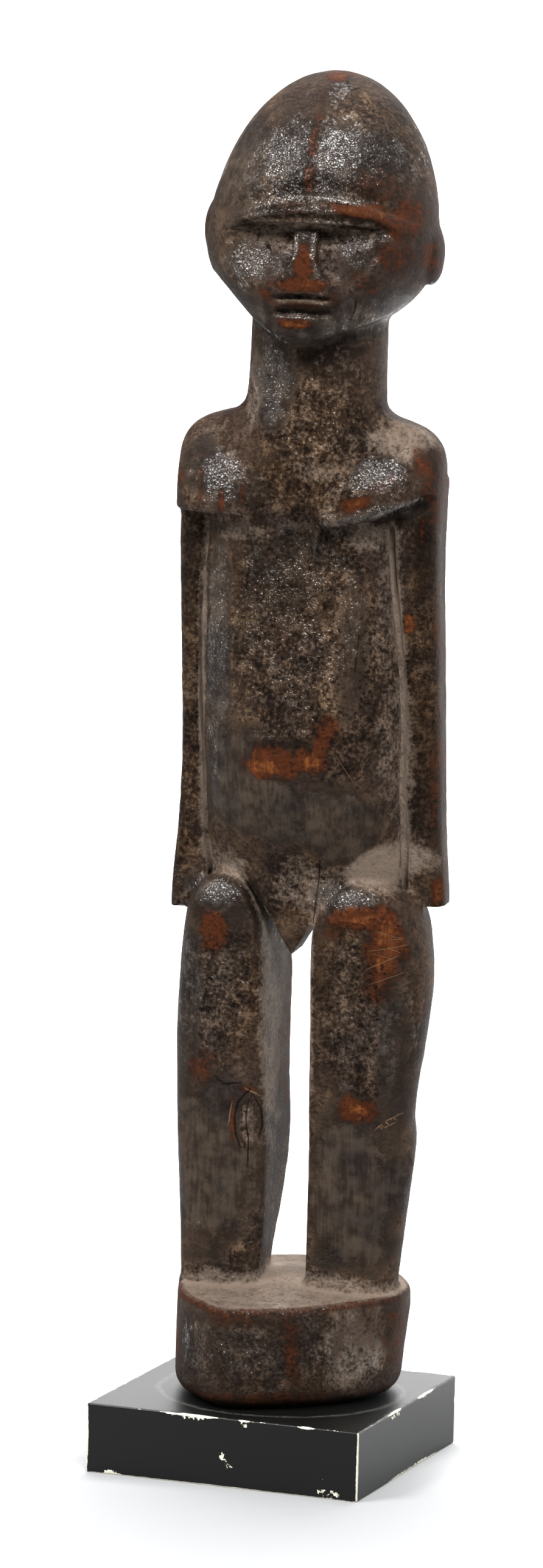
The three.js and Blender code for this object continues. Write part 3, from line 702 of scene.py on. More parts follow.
GLOSS = [
    (-8.5, 341, 6.8, 7.4, 0, 0.9), (5.6, 342.4, 5.2, 5.6, 0, 1.0), (3, 356.5, 3.4, 4.4, 0, 0.4),
    (-14, 313.5, 6, 5.6, 35, 0.95), (13, 319.4, 7, 2.6, 8, 0.95), (-10, 283, 6, 11, 0, 0.8),
    (20, 321.4, 3.2, 1.6, 20, 0.7), (-2.3, 319, 0.8, 5, 0, 1.0), (2.5, 318.6, 0.8, 5.4, 0, 1.0),
    (0, 305.4, 8, 0.7, 0, 0.9), (-1, 301.3, 7.2, 0.7, 0, 0.9), (-8, 330.2, 9, 1.2, 10, 0.9),
    (12, 330.6, 8, 1.1, -9, 0.9), (-21.5, 259, 6.6, 6.8, 0, 0.95), (19, 260, 9, 5.2, 30, 1.0),
    (12, 255.5, 4.4, 4, 20, 0.5), (18, 250.6, 12, 2.4, 16, 0.9), (-22, 151, 8, 3.6, 0, 1.0),
    (13, 151, 11, 3.8, 3, 1.0), (0, 45.2, 30, 1.2, 0, 0.7), (25.6, 138, 4, 9, 0, 0.25),
    (-21.5, 215, 4, 34, 2, 0.6), (0, 296, 8, 3, 0, 0.3), (12, 300, 15, 5, 20, 0.3),
    (-27, 256, 7, 6, 0, 0.35), (-8, 174, 16, 10, -16, 0.15), (-21, 76, 14, 24, 0, 0.15),
    (17, 72, 15, 24, 0, 0.15), (0, 22, 34, 3, 0, 0.5), (0, 338, 26, 14, 0, 0.55),
    (-1, 225, 19, 34, 0, 0.5), (0, 275, 16, 14, 0, 0.4), (-20, 122, 11, 22, 0, 0.5),
    (19, 122, 13, 24, 0, 0.5), (2, 310, 9, 3, 0, 0.45), (0, 34, 32, 10, 0, 0.45), (20, 33, 7, 10, 0, 0.8),
    (0, 316, 20, 8, 0, 0.4),
]
# Darker patches: partly the patina's own dark tone on the nose, brow, forehead, trunk, legs and foot sides,
# partly painted shade in the eye slit, the mouth slots, the grooves by the arms, under the breast ledges and
# the chin, beside the flap and along the foot's lower edge
DARK_AND_SHADE = [
    (0.1, 321.5, 2.4, 3.4, 0, 0.75), (-6, 328.4, 8, 1.6, 6, 0.7), (0, 323.3, 24, 0.5, 0, 0.3),
    (0, 306.3, 6.4, 0.8, 0, 0.9), (0, 302.2, 7.4, 0.7, 0, 0.8), (-2, 295, 8, 2, 0, 0.6),
    (6, 290.4, 8, 2.6, 14, 0.8), (-9, 297, 5, 1.6, -32, 0.6), (14, 340, 9, 9, 0, 0.65),
    (-4, 343, 14, 10, 0, 0.5), (20, 350, 8, 8, 0, 0.35), (-4, 333, 12, 3, 0, 0.5),
    (-6, 235, 12, 16, 0, 0.45), (31, 238, 4, 14, 0, 0.6), (31, 184, 4, 26, 0, 0.35),
    (-31, 230, 4, 18, 0, 0.35), (-26, 147.5, 5, 6, 0, 0.6), (-16, 143, 4, 9, 0, 0.4),
    (8, 130, 4, 12, 0, 0.4), (29.5, 132, 2.6, 12, 0, 0.4), (-10, 148, 2.4, 8, 30, 0.8),
    (12, 180, 10, 3, 0, 0.3), (-3, 190.5, 10, 2, 0, 0.6), (2, 181.6, 10, 1, 0, 0.4),
    (17, 246, 10, 2, 14, 0.7), (-10, 247, 6, 3, 0, 0.4), (14, 102, 5, 6, 0, 0.3),
    (0, 19.5, 34, 1.6, 0, 0.7), (-24, 33, 6, 9, 0, 0.3), (-12, 46.4, 13, 2.4, 0, 0.75),
    (-12, 33, 5, 11, 0, 0.45), (12, 32, 3, 12, 0, 0.35), (24, 90, 3, 12, 0, 0.3),
    (-22, 68, 2, 20, 0, 0.35), (12, 66, 2, 22, 0, 0.3),
]

# Cracks, splits and scratches on the front as chains of places (sideways, height), with their half width
CRACKS = [
    ([(4.4, 359.4), (5.8, 357.2), (5.2, 355.4)], 0.3), ([(5.8, 357.2), (7.4, 357.8)], 0.25),
    ([(12, 301), (12.8, 303), (13.2, 304.8)], 0.3), ([(6.6, 159.6), (5.8, 152), (4.9, 143.8)], 0.22),
    ([(-10.8, 98.4), (-13.4, 95.4), (-14.4, 91.4), (-14.2, 87.6), (-13, 83.6)], 0.28),
    ([(-9.4, 97.2), (-7.8, 94), (-7.4, 90.4), (-8, 86)], 0.18),
    ([(-10.9, 95.6), (-11.5, 91), (-10.7, 85), (-10.9, 79)], 0.22),
    ([(-19, 101.2), (-17, 99.9), (-14.2, 100.2)], 0.4), ([(30.8, 82), (32, 76), (32.4, 70.6)], 0.35),
    ([(-10.4, 318.6), (-10, 317.8)], 0.5), ([(15.4, 218), (15, 211)], 0.2),
    ([(-14, 236), (-14.4, 228)], 0.2),
]
SCRATCHES = [
    ([(23.4, 90.8), (26, 92.9), (29, 94.4)], 0.25), ([(24.8, 90.6), (27.4, 92)], 0.2),
    ([(11.6, 188), (15.2, 182.4)], 0.12), ([(21, 137.6), (30, 139.4)], 0.12),
    ([(20.6, 133), (27.6, 136.4)], 0.14), ([(21.4, 129), (29, 132)], 0.12),
    ([(23, 142.6), (29.4, 141)], 0.12), ([(-11.2, 99), (-8.2, 97.4)], 0.3),
    ([(-15.2, 94.6), (-16, 90)], 0.25), ([(21.6, 242), (23, 231)], 0.2),
    ([(-9, 324), (-16, 321.8)], 0.12),
]

# Each mask with its patches, and the seed, strength and size of the noise that makes their edges ragged
PATCHES = {
    "worn": (WORN, 3, 0.34, 2.2), "ember": (EMBER, 4, 0.34, 2.2), "crust": (CRUST, 6, 0.3, 7),
    "dust": (DUST, 8, 0.3, 5), "smooth": (SMOOTH, 9, 0.25, 6), "gloss": (GLOSS, 10, 0.3, 2.4),
    "dark_and_shade": (DARK_AND_SHADE, 12, 0.35, 3),
}


def painted(points, patches, seed, ragged, size):
    """How strongly each point of the front lies in one of the patches, whose edges are ragged."""
    edge = ragged * cloud(points, size, seed, 3)
    level = np.zeros(len(points))
    for x, z, half_x, half_z, lean, strength in patches:
        turn = math.radians(lean)
        dx = points[:, 0] - x
        dz = points[:, 2] - z
        across = dx * math.cos(turn) + dz * math.sin(turn)
        up = dz * math.cos(turn) - dx * math.sin(turn)
        far = np.hypot(across / half_x, up / half_z) + edge
        level = np.maximum(level, strength * (1 - ease(0.45, 1.4, far)))
    return level


def strokes(points, marks):
    """For fine lines: the signed distance to the nearest in half widths, and where it is near at all."""
    nearest = np.full(len(points), 99.0)
    off, near = np.full(len(points), 9.0), np.zeros(len(points))
    for chain, half in marks:
        for (x0, z0), (x1, z1) in zip(chain, chain[1:]):
            length = math.hypot(x1 - x0, z1 - z0)
            dx, dz = points[:, 0] - x0, points[:, 2] - z0
            up = (dx * (x1 - x0) + dz * (z1 - z0)) / length
            aside = (dx * (z1 - z0) - dz * (x1 - x0)) / length
            past = np.maximum(np.maximum(-up, up - length), 0)
            far = np.hypot(aside, past)
            closer = far < nearest
            nearest = np.where(closer, far, nearest)
            off = np.where(closer, aside / half, off)
            near = np.where(closer, (1 - ease(0.1, 0.9, past)) * (1 - ease(1.4, 2.2, np.abs(aside))), near)
    return off, near


# How far from a point its neighbours hide light, and how much each distance counts
REACHES = [(1.5, 1.0), (4.0, 0.9), (9.0, 0.7)]

# Where wear or dust fades in and out on the rim of the foot, its top and the legs' inner sides, and how much
RIM_FROM, RIM_TO = (41, 43.5), (46, 49)
FOOT_TO = (52, 60)
INNER_ASIDE, INNER_TO = (9, 12), (140, 150)
RIM_WORN, RIM_EMBER = 0.65, 0.12
FOOT_DUST, INNER_DUST = 0.78, 0.15
BACK_CRUST = 0.35

# Depth of blade marks, grain, broad swellings and crust, and the height of the lips along a crack
BLADE_DEPTH, GRAIN_DEPTH, BROAD_DEPTH = 0.16, 0.05, 0.10
CRUST_DEPTH, CRUST_SUNK = 0.24, 0.05
LIP_HEIGHT = 0.28


def hollowness(distance, points, normals):
    """How much of the light round each point its neighbours hide, from 0 in the open to about 1."""
    hidden = np.zeros(len(points))
    whole = 0.0
    for reach, weight in REACHES:
        clear = distance(*(points + reach * normals).T)
        hidden += weight * np.clip(1 - clear / reach, 0, 1)
        whole += weight
    return hidden / whole


def sharpness(distance, points, reach):
    """Positive on edges that stand out and negative in creases."""
    total = -6 * distance(*points.T)
    for n in range(3):
        for side in (-reach, reach):
            off = np.zeros(3)
            off[n] = side
            total = total + distance(*(points + off).T)
    return total / reach


def relief(points, patina):
    """The height of tool marks, grain and crust above the plain form, in millimetres."""
    blade = facets(points, (9, 9, 21), 5) - 0.5
    grain = cloud(points, (1.6, 1.6, 26), 11, 2)
    lumps = cloud(points, 2.6, 17, 3)
    broad = cloud(points, 13, 19, 2)
    crust = patina["crust"]
    calm = 1 - 0.75 * patina["smooth"]
    height = BLADE_DEPTH * blade * calm + GRAIN_DEPTH * grain * calm + BROAD_DEPTH * broad
    return height + crust * (CRUST_DEPTH * lumps - CRUST_SUNK)


def stand(name, data):
    """Puts a mesh, a light or a camera into the scene."""
    piece = bpy.data.objects.new(name, data)
    bpy.context.scene.collection.objects.link(piece)
    return piece


def make_mesh(name, points, quads, masks, place):
    """A mesh in the block's frame, with its masks as attributes for the material."""
    mesh = bpy.data.meshes.new(name)
    turned = points @ np.array(place.to_3x3()).T + np.array(place.translation)
    mesh.from_pydata((turned * MM).tolist(), [], quads.tolist())
    mesh.update()
    for key, values in masks.items():
        layer = mesh.attributes.new(key, "FLOAT", "POINT")
        layer.data.foreach_set("value", np.asarray(values, np.float32))
    mesh.polygons.foreach_set("use_smooth", [True] * len(mesh.polygons))
    return stand(name, mesh)


def make_figure():
    """The carved figure in its place on the block, with its wear, dust and painted shade worked out point by
    point.
    """
    points, quads = skin(figure_distance, ticks(TICKS_X), ticks(TICKS_Y), ticks(TICKS_Z))
    points = settle(figure_distance, points)
    normals = facing(figure_distance, points, 0.15)
    front = ease(-0.25, 0.2, -normals[:, 1])
    side = ease(0.15, 0.6, normals[:, 0]) * ease(-0.9, -0.2, -normals[:, 1])
    above = ease(0.5, 0.9, normals[:, 2])
    hollow = hollowness(figure_distance, points, normals)
    sharp = sharpness(figure_distance, points, 1.4)
    x, z = points[:, 0], points[:, 2]
    rim = ease(*RIM_FROM, z) * (1 - ease(*RIM_TO, z)) * ease(0.25, 0.6, sharp)
    on_foot = above * (1 - ease(*FOOT_TO, z))
    inner = ease(0.4, 0.8, np.abs(normals[:, 0])) * (1 - ease(*INNER_ASIDE, np.abs(x)))
    inner = inner * (1 - ease(*INNER_TO, z))
    resting = np.maximum(FOOT_DUST * on_foot, INNER_DUST * inner)
    spots = {name: painted(points, *row) for name, row in PATCHES.items()}
    patina = {
        "worn": np.maximum(spots["worn"] * np.maximum(front, side), RIM_WORN * rim),
        "ember": np.maximum(spots["ember"] * front, RIM_EMBER * rim),
        "crust": np.maximum(spots["crust"] * front, BACK_CRUST * (1 - front)),
        "dust": np.maximum(spots["dust"] * front, resting),
        "smooth": spots["smooth"] * front * (1 - on_foot),
        "gloss": spots["gloss"] * front,
        "dark_and_shade": spots["dark_and_shade"] * front,
        "hollow": hollow,
        "sharp": sharp,
    }
    patina["crust"] = patina["crust"] * (1 - 0.8 * patina["smooth"])
    for name, marks in (("crack", CRACKS), ("scratch", SCRATCHES)):
        off, near = strokes(points, marks)
        patina[name] = off
        patina[name + "_near"] = near * front
    lip = patina["crack_near"] * (1 - ease(1.5, 5, np.abs(patina["crack"])))
    points = points + normals * (LIP_HEIGHT * lip)[:, None]
    points = points + normals * relief(points, patina)[:, None]
    points[:, 2] = np.maximum(points[:, 2], SEAT)
    place = Matrix.Translation((FIGURE_X, FIGURE_Y, 0)) @ Matrix.Rotation(math.radians(FIGURE_TURN), 4, "Z")
    return make_mesh("carved_figure", points, quads, patina, place)


class Finish:
    """A material in the making: each call adds one node and gives back its output."""

    def __init__(self, name):
        self.material = bpy.data.materials.new(name)
        self.material.use_nodes = True
        self.tree = self.material.node_tree
        self.tree.nodes.clear()
        self.place = self.add("ShaderNodeTexCoord").outputs["Object"]

    def add(self, kind, inputs=None, **settings):
        """Adds a node. Each input takes a plain value, a colour or the output of another node."""
        node = self.tree.nodes.new(kind)
        for key, value in settings.items():
            setattr(node, key, value)
        for key, value in (inputs or {}).items():
            socket = node.inputs[key]
            if isinstance(value, bpy.types.NodeSocket):
                self.tree.links.new(value, socket)
            elif socket.type == "RGBA":
                socket.default_value = (*value, 1)
            else:
                socket.default_value = value
        return node

    def mask(self, name):
        return self.add("ShaderNodeAttribute", attribute_name=name).outputs["Fac"]

    def math(self, operation, a, b=0.0):
        return self.add("ShaderNodeMath", {0: a, 1: b}, operation=operation).outputs[0]

    def ramp(self, value, low, high, at_low=0.0, at_high=1.0):
        inputs = {"Value": value, "From Min": low, "From Max": high, "To Min": at_low, "To Max": at_high}
        return self.add("ShaderNodeMapRange", inputs, interpolation_type="SMOOTHSTEP").outputs["Result"]

    def blend(self, share, a, b, mode="MIX"):
        settings = {"data_type": "RGBA", "blend_type": mode, "clamp_factor": True}
        return self.add("ShaderNodeMix", {0: share, 6: a, 7: b}, **settings).outputs[2]

    def stretched(self, size, stretch, shift):
        scale = [1 / (size * MM * s) for s in stretch]
        inputs = {"Vector": self.place, "Location": (shift, shift * 1.7, shift * 2.3), "Scale": scale}
        return self.add("ShaderNodeMapping", inputs).outputs["Vector"]

    def noise(self, size, detail, roughness, stretch=(1, 1, 1), shift=0.0):
        place = self.stretched(size, stretch, shift)
        inputs = {"Vector": place, "Scale": 1, "Detail": detail, "Roughness": roughness}
        return self.add("ShaderNodeTexNoise", inputs).outputs["Fac"]

    def cells(self, size, shift, feature="F1"):
        inputs = {"Vector": self.stretched(size, (1, 1, 1), shift), "Scale": 1}
        return self.add("ShaderNodeTexVoronoi", inputs, feature=feature).outputs["Distance"]

    def bump(self, height, depth, strength, normal=None):
        inputs = {"Height": height, "Distance": depth * MM, "Strength": strength}
        if normal is not None:
            inputs["Normal"] = normal
        return self.add("ShaderNodeBump", inputs).outputs["Normal"]

    def mixed(self, *parts):
        """The sum of values, each times its own weight."""
        total = None
        for value, weight in parts:
            part = self.math("MULTIPLY", value, weight)
            total = part if total is None else self.math("ADD", total, part)
        return total

    def finish(self, colour, roughness, normal, specular, **others):
        """Joins colour and bumps in the surface. A name such as Coat_Weight sets the input Coat Weight."""
        inputs = {"Base Color": colour, "Roughness": roughness, "Normal": normal}
        inputs["Specular IOR Level"] = specular
        inputs.update((key.replace("_", " "), value) for key, value in others.items())
        shader = self.add("ShaderNodeBsdfPrincipled", inputs)
        self.add("ShaderNodeOutputMaterial", {"Surface": shader.outputs["BSDF"]})
        return self.material


# Colours of the patina
CRUST_DEEP = (0.0055, 0.0032, 0.0019)
CRUST_MIDDLE = (0.028, 0.0172, 0.0102)
CRUST_HIGH = (0.116, 0.077, 0.048)
GROUND_DARK = (0.0225, 0.0150, 0.0106)
GROUND_PALE = (0.072, 0.049, 0.0352)
SMOOTH_DARK = (0.0165, 0.0125, 0.0101)
SMOOTH_PALE = (0.042, 0.0328, 0.0262)
WOOD_DEEP = (0.016, 0.0045, 0.002)
WOOD_RED = (0.068, 0.0195, 0.0066)
WOOD_ORANGE = (0.20, 0.066, 0.016)
DUST_PALE = (0.27, 0.205, 0.158)
# Grime colour, also laid on as painted shade through the dark patches
GRIME_AND_SHADE = (0.0075, 0.0048, 0.0032)
TINT_COOL = (0.74, 0.72, 0.76)
TINT_WARM = (1.22, 1.12, 1.0)
SPLINTER = (0.20, 0.12, 0.065)


def patinated_wood():
    """Old wood under a dark crust, dusty in the hollows, worn to the red wood where it stands out, and
    darkened with painted shade in slits and grooves.
    """
    wood = Finish("patinated_wood")
    names = ("worn", "ember", "crust", "dust", "smooth", "gloss", "dark_and_shade", "hollow", "sharp")
    worn, ember, crust, dust, smooth, gloss, dark_and_shade, hollow, sharp = (wood.mask(name) for name in names)

    crumbs = wood.noise(1.0, 6, 0.68)
    lumps = wood.noise(3.6, 4, 0.6, shift=3.1)
    drift = wood.noise(15, 3, 0.55, shift=7.7)
    fibre = wood.noise(0.8, 4, 0.6, (1, 1, 16), 5.3)
    crackle = wood.noise(0.75, 1, 0.5, shift=11.0)
    plates = wood.cells(1.25, shift=2.2, feature="DISTANCE_TO_EDGE")
    specks = wood.cells(1.9, shift=2.2)

    # Fine lines keep their sharpness because their attributes are signed distances in half widths
    drawn = []
    waver = wood.math("MULTIPLY", wood.math("SUBTRACT", crumbs, 0.5), 2.5)
    for name in ("crack", "scratch"):
        off = wood.math("ABSOLUTE", wood.math("ADD", wood.mask(name), waver))
        drawn.append(wood.math("MULTIPLY", wood.ramp(off, 1.1, 0.3), wood.mask(name + "_near")))
    cracked, scratched = drawn

    # The ground is a brown grey, uneven coat of grime
    mottle = wood.mixed((crumbs, 0.62), (lumps, 0.38))
    uneven = wood.math("SUBTRACT", mottle, 0.5)
    base = wood.blend(wood.ramp(mottle, 0.38, 0.62), GROUND_DARK, GROUND_PALE)

    # The crust is dark in its pits and brown grey on its high crumbs
    crusty = wood.blend(wood.ramp(mottle, 0.40, 0.49), CRUST_DEEP, CRUST_MIDDLE)
    crusty = wood.blend(wood.ramp(mottle, 0.49, 0.61), crusty, CRUST_HIGH)
    base = wood.blend(wood.ramp(wood.mixed((crust, 1.0), (lumps, 1.2)), 0.55, 1.25), base, crusty)
    tint = wood.blend(wood.ramp(drift, 0.38, 0.62), TINT_COOL, TINT_WARM)
    base = wood.blend(1.0, base, tint, "MULTIPLY")
    # Random grime and the dark patches darken the colour; in slits, grooves and under the chin this is
    # painted shade
    grime_and_shade = wood.ramp(wood.mixed((dark_and_shade, 1.0), (uneven, 1.8)), 0.0, 0.9)
    base = wood.blend(wood.math("MULTIPLY", grime_and_shade, 0.85), base, GRIME_AND_SHADE)

    # Dust lies in the hollows and where the patches say
    lying = wood.mixed((hollow, 0.62), (dust, 1.0), (uneven, 2.0))
    base = wood.blend(wood.ramp(lying, 0.25, 1.1, 0.0, 0.94), base, DUST_PALE)

    # The handled surface is a smooth grey black with faint fibres and pale flecks
    streaks = wood.ramp(wood.mixed((fibre, 0.4), (lumps, 0.6)), 0.38, 0.62)
    handled = wood.blend(streaks, SMOOTH_DARK, SMOOTH_PALE)
    handled = wood.blend(wood.math("MULTIPLY", wood.ramp(specks, 0.10, 0.03), 0.4), handled, CRUST_HIGH)
    handled = wood.blend(1.0, handled, tint, "MULTIPLY")
    sleek = wood.ramp(wood.mixed((smooth, 1.0), (uneven, 1.5), (dust, -0.6), (dark_and_shade, -0.4)), 0.05, 0.85)
    base = wood.blend(sleek, base, handled)

    # Dark red wood, and orange where it is barest, show through where the patina is worn away
    bare = wood.ramp(wood.mixed((worn, 1.0), (uneven, 2.6)), 0.22, 0.85)
    timber = wood.blend(wood.ramp(wood.mixed((worn, 1.0), (uneven, 3.2)), 0.35, 0.95), WOOD_DEEP, WOOD_RED)
    glow = wood.mixed((ember, 1.0), (wood.math("SUBTRACT", fibre, 0.5), 1.1), (uneven, 2.2))
    timber = wood.blend(wood.ramp(glow, 0.3, 1.0), timber, WOOD_ORANGE)
    base = wood.blend(bare, base, timber)
    base = wood.blend(wood.math("MULTIPLY", scratched, 0.7), base, SPLINTER)
    base = wood.blend(wood.math("MULTIPLY", cracked, 0.8), base, GRIME_AND_SHADE)

    # Handled places carry a thin gloss broken up by fine crackle
    rough = wood.mixed((wood.ramp(sleek, 0.0, 1.0, 0.62, 0.46), 1.0), (uneven, 0.5))
    edges = wood.ramp(sharp, 0.2, 0.7)
    lacquer = wood.mixed((gloss, 1.0), (uneven, 2.6), (edges, 0.25), (dust, -0.3), (worn, -0.5))
    lacquer = wood.ramp(lacquer, 0.2, 0.95)
    lacquer = wood.math("MULTIPLY", lacquer, wood.ramp(plates, 0.01, 0.09, 0.25, 1.0))

    grit = wood.math("MULTIPLY", mottle, wood.ramp(sleek, 0.0, 1.0, 1.0, 0.12))
    grit = wood.math("SUBTRACT", grit, wood.mixed((cracked, 0.5), (scratched, 0.2)))
    normal = wood.bump(grit, 2.4, 1.0)
    normal = wood.bump(fibre, 0.10, 0.4, normal)
    sheen = wood.bump(lumps, 1.0, 0.8)
    sheen = wood.bump(wood.ramp(plates, 0.0, 0.3), 0.12, 0.8, sheen)
    sheen = wood.bump(crackle, 0.32, 0.9, sheen)
    coat = {"Coat_Weight": lacquer, "Coat_Normal": sheen, "Coat_Roughness": 0.11}
    return wood.finish(base, rough, normal, 0.05, **coat)


BLOCK_ROUND = 0.5
BITE_DEPTH = 0.35
CHIP_CREAM = (0.62, 0.60, 0.50)
SCUFF_GREY = (0.045, 0.046, 0.043)
PAINT_BLACK = (0.0016, 0.0019, 0.0015)
SCUFF_RADIUS = 32
SCUFF_MIDDLE = (2, 0.5)

# Where paint is chipped off in the block's own frame: middle and half size
CHIPS = [
    ((-9, -37.5, 17.8), (7.5, 1.4, 1.4)), ((0, -37.5, 8.2), (1, 1, 2.2)),
    ((2.2, -37.5, 5.6), (1.2, 1, 1.2)), ((27, -37.5, 5), (4.4, 1, 0.7)),
    ((29.6, -37.5, 1.6), (4.6, 1, 1.4)), ((-30.3, -37.5, 0.7), (2.6, 1, 0.8)),
    ((-37.2, -37.5, 9), (0.4, 1, 9)), ((6, -37.5, 17.4), (1.6, 1, 1.8)), ((23, -37.5, 17.8), (2, 1, 1.2)),
    ((37.5, -10, 17.4), (1, 5, 1.7)), ((37.5, -13, 9.8), (1, 0.35, 4.6)),
    ((37.5, -37.5, 9), (0.6, 0.6, 12)), ((37.5, 14, 17.9), (1, 6, 0.9)), ((37.5, 5, 0.5), (1, 20, 0.7)),
    ((0, -37.5, 0), (36, 1, 0.4)),
]


def block_distance(x, y, z):
    half = BLOCK_SIDE / 2
    return slab(x, y, z - BLOCK_HEIGHT / 2, (half, half, BLOCK_HEIGHT / 2), BLOCK_ROUND)


def edge_nearness(points):
    """How near each point of the block lies to its nearest edge, in millimetres."""
    half = np.array([BLOCK_SIDE / 2, BLOCK_SIDE / 2, BLOCK_HEIGHT / 2])
    off = half - np.abs(points - np.array([0, 0, BLOCK_HEIGHT / 2]))
    return np.sort(off, axis=1)[:, 1]


def edged_ticks(low, high):
    """Places along one side of the block, fine near its two edges and coarse between them."""
    rise = [(low - 0.5, low + 2.5, 0.3), (low + 2.5, low + 6, 0.9), (low + 6, high - 6, 1.2)]
    return ticks(rise + [(high - 6, high - 2.5, 0.9), (high - 2.5, high + 0.5, 0.3)])


def make_block():
    """The block as a slab with rounded, chipped edges."""
    across = edged_ticks(-BLOCK_SIDE / 2, BLOCK_SIDE / 2)
    points, quads = skin(block_distance, across, across, edged_ticks(0, BLOCK_HEIGHT))
    points = settle(block_distance, points)
    normals = facing(block_distance, points, 0.1)
    near = edge_nearness(points)
    chip = np.zeros(len(points))
    for middle, size in CHIPS:
        far = np.linalg.norm((points - middle) / size, axis=1)
        chip = np.maximum(chip, 1 - ease(0.6, 1.3, far))
    scuff = np.hypot(points[:, 0] - SCUFF_MIDDLE[0], points[:, 1] - SCUFF_MIDDLE[1]) - SCUFF_RADIUS
    scuff = np.where(points[:, 2] > BLOCK_HEIGHT - BLOCK_ROUND, scuff, SCUFF_RADIUS)
    bite = np.clip(cloud(points, 2.2, 23, 3) - 0.15, 0, 1) * (1 - ease(0.2, 1.3, near))
    points = points - normals * (BITE_DEPTH * bite)[:, None]
    points[:, 2] = np.where(normals[:, 2] < -0.9, 0, np.maximum(points[:, 2], 0))
    masks = {"edge": near, "chip": chip, "scuff": scuff}
    return make_mesh("painted_block", points, quads, masks, Matrix.Identity(4))


def black_paint():
    """Black semi-gloss paint, chipped to a cream ground along the edges and scuffed round the foot."""
    paint = Finish("black_paint")
    near = paint.math("MINIMUM", paint.mask("edge"), 0.6)
    ragged = paint.noise(0.9, 4, 0.62)
    patchy = paint.noise(9, 3, 0.5, shift=4.0)
    lift = paint.mixed((near, -3.0), (ragged, 2.4), (patchy, 1.4), (paint.mask("chip"), 1.6))
    chipped = paint.ramp(lift, 1.72, 1.80)
    ring = paint.math("ABSOLUTE", paint.mixed((paint.mask("scuff"), 1.0), (ragged, 2.4), (patchy, -2.4)))
    scuffed = paint.math("MULTIPLY", paint.ramp(ring, 1.3, 0.1), paint.ramp(ragged, 0.36, 0.56))
    colour = paint.blend(scuffed, PAINT_BLACK, SCUFF_GREY)
    colour = paint.blend(chipped, colour, CHIP_CREAM)
    rough = paint.ramp(chipped, 0, 1, 0.42, 0.8)
    normal = paint.bump(paint.math("MULTIPLY", chipped, -1.0), 0.1, 0.6)
    dimple = paint.noise(0.8, 3, 0.6, shift=9.0)
    normal = paint.bump(dimple, 0.05, 0.35, normal)
    return paint.finish(colour, rough, normal, 0.28)


# The sweep in metres, grey in front and lighter behind
SWEEP_FRONT, SWEEP_BACK, SWEEP_TOP = -0.5, 1.6, 2.4
SWEEP_BEND, SWEEP_HALF = 0.6, 1.5
BEND_STEPS = 12
FLOOR_TONE = (0.27, 0.273, 0.277)
WALL_TONE = (0.86, 0.86, 0.86)


def make_stage():
    """A pale sweep: a floor that curves up behind into a wall."""
    outline = [(SWEEP_FRONT, 0.0)]
    for n in range(BEND_STEPS + 1):
        turn = math.radians(90 * n / BEND_STEPS)
        outline.append((SWEEP_BACK + SWEEP_BEND * math.sin(turn), SWEEP_BEND * (1 - math.cos(turn))))
    outline.append((SWEEP_BACK + SWEEP_BEND, SWEEP_TOP))
    verts = [(side * SWEEP_HALF, y, z) for y, z in outline for side in (-1, 1)]
    faces = [(2 * n, 2 * n + 1, 2 * n + 3, 2 * n + 2) for n in range(len(outline) - 1)]
    mesh = bpy.data.meshes.new("studio_sweep")
    mesh.from_pydata(verts, [], faces)
    mesh.polygons.foreach_set("use_smooth", [True] * len(faces))
    pale = Finish("pale_sweep")
    behind = pale.ramp(pale.add("ShaderNodeSeparateXYZ", {0: pale.place}).outputs["Y"], -0.02, 0.3)
    tone = pale.blend(behind, FLOOR_TONE, WALL_TONE)
    grainy = pale.bump(pale.noise(400, 2, 0.5), 0.01, 0.1)
    glow = {"Emission_Color": (1, 1, 1), "Emission_Strength": pale.ramp(behind, 0, 1, 0.1, 0.3)}
    mesh.materials.append(pale.finish(tone, 0.9, grainy, 0.2, **glow))
    return stand("studio_sweep", mesh)


# The camera: its place, the way it looks, how far it leans, and the photograph's size in pixels
FRAME_WIDE, FRAME_HIGH = 892, 2576
FOCAL_PIXELS = 12000.0
CAMERA_TURN = -20.54174
CAMERA_DOWN = 8.03710
CAMERA_ROLL = 1.49546
CAMERA_SHIFT = Vector((0.06916, 176.65756, 1917.43580))
SENSOR = 36.0


def make_camera():
    turn = Matrix.Rotation(math.radians(CAMERA_TURN), 3, "Z")
    upright = Matrix(((1, 0, 0), (0, 0, -1), (0, 1, 0)))
    down = Matrix.Rotation(math.radians(CAMERA_DOWN), 3, "X")
    roll = Matrix.Rotation(math.radians(CAMERA_ROLL), 3, "Z")
    seen = roll @ down @ upright @ turn
    spot = -(seen.transposed() @ CAMERA_SHIFT) * MM
    gaze = (Matrix.Diagonal((1, -1, -1)) @ seen).transposed()
    data = bpy.data.cameras.new("camera")
    data.sensor_width = SENSOR
    data.lens = FOCAL_PIXELS / max(FRAME_WIDE, FRAME_HIGH) * SENSOR
    data.clip_start = 0.1
    data.clip_end = 50
    camera = stand("camera", data)
    camera.matrix_world = Matrix.Translation(spot) @ gaze.to_4x4()
    bpy.context.scene.camera = camera


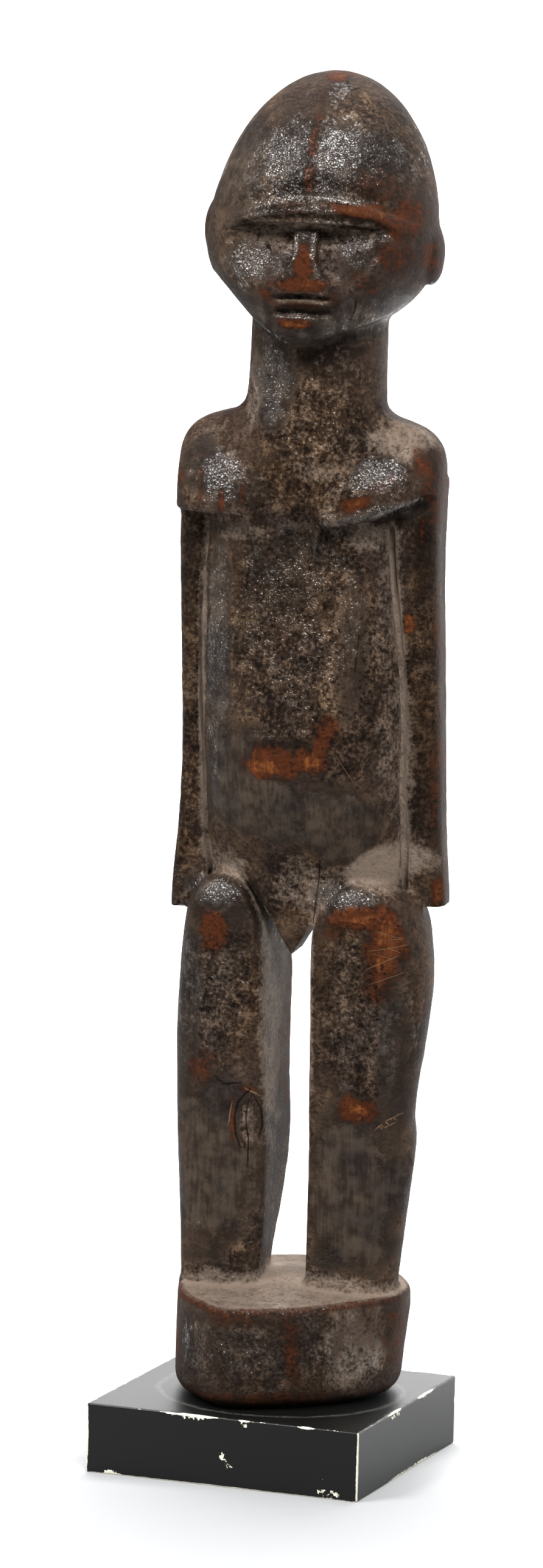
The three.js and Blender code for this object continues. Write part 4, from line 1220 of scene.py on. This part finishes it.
CAMERA_SIDE = 20.54
SKY_COLOUR = (0.95, 0.98, 1.0, 1)
SKY_STRENGTH = 0.05
LIGHTS_AIM = (0, 0, 0.2)
WALL_SPOT = (0.9, 2.3, 0.9)

# Soft boxes: name, direction from the camera's and height in degrees, distance, size, power, lit spot
SOFT_BOXES = [
    ("left_box", -60, 45, 1.7, (0.55, 0.55), 40, LIGHTS_AIM),
    ("right_box", 16, 44, 1.7, (0.55, 0.55), 40, LIGHTS_AIM),
    ("overhead", 180, 70, 1.8, (0.9, 0.9), 70, LIGHTS_AIM),
    ("left_wall", -105, 15, 1.8, (1.0, 2.0), 6, LIGHTS_AIM),
    ("right_wall", 105, 15, 1.8, (1.0, 2.0), 16, LIGHTS_AIM),
    ("front_fill", -8, 2, 1.9, (1.4, 1.2), 5, LIGHTS_AIM),
    ("wall_wash", 158, 60, 1.4, (2.6, 0.8), 100, WALL_SPOT),
]


def soft_light(name, azimuth, elevation, distance, size, power, spot):
    """A soft box that stands in a direction measured from the camera's and looks at one spot."""
    data = bpy.data.lights.new(name, "AREA")
    data.shape = "RECTANGLE"
    data.size, data.size_y = size
    data.energy = power
    light = stand(name, data)
    around = math.radians(azimuth + CAMERA_SIDE)
    up = math.radians(elevation)
    way = Vector((math.sin(around) * math.cos(up), -math.cos(around) * math.cos(up), math.sin(up)))
    light.location = Vector(LIGHTS_AIM) + distance * way
    light.rotation_euler = (Vector(spot) - light.location).to_track_quat("-Z", "Y").to_euler()


def make_lights():
    world = bpy.data.worlds.new("studio")
    world.use_nodes = True
    sky = world.node_tree.nodes["Background"]
    sky.inputs["Color"].default_value = SKY_COLOUR
    sky.inputs["Strength"].default_value = SKY_STRENGTH
    bpy.context.scene.world = world
    for row in SOFT_BOXES:
        soft_light(*row)


figure = make_figure()
figure.data.materials.append(patinated_wood())
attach(figure, "root")
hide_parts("figure")

block = make_block()
block.data.materials.append(black_paint())
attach(block, "root")
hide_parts("display_block")

make_stage()
make_lights()
make_camera()
bpy.context.scene.view_settings.view_transform = "Standard"

print("figure triangles", 2 * len(figure.data.polygons), "block", 2 * len(block.data.polygons))
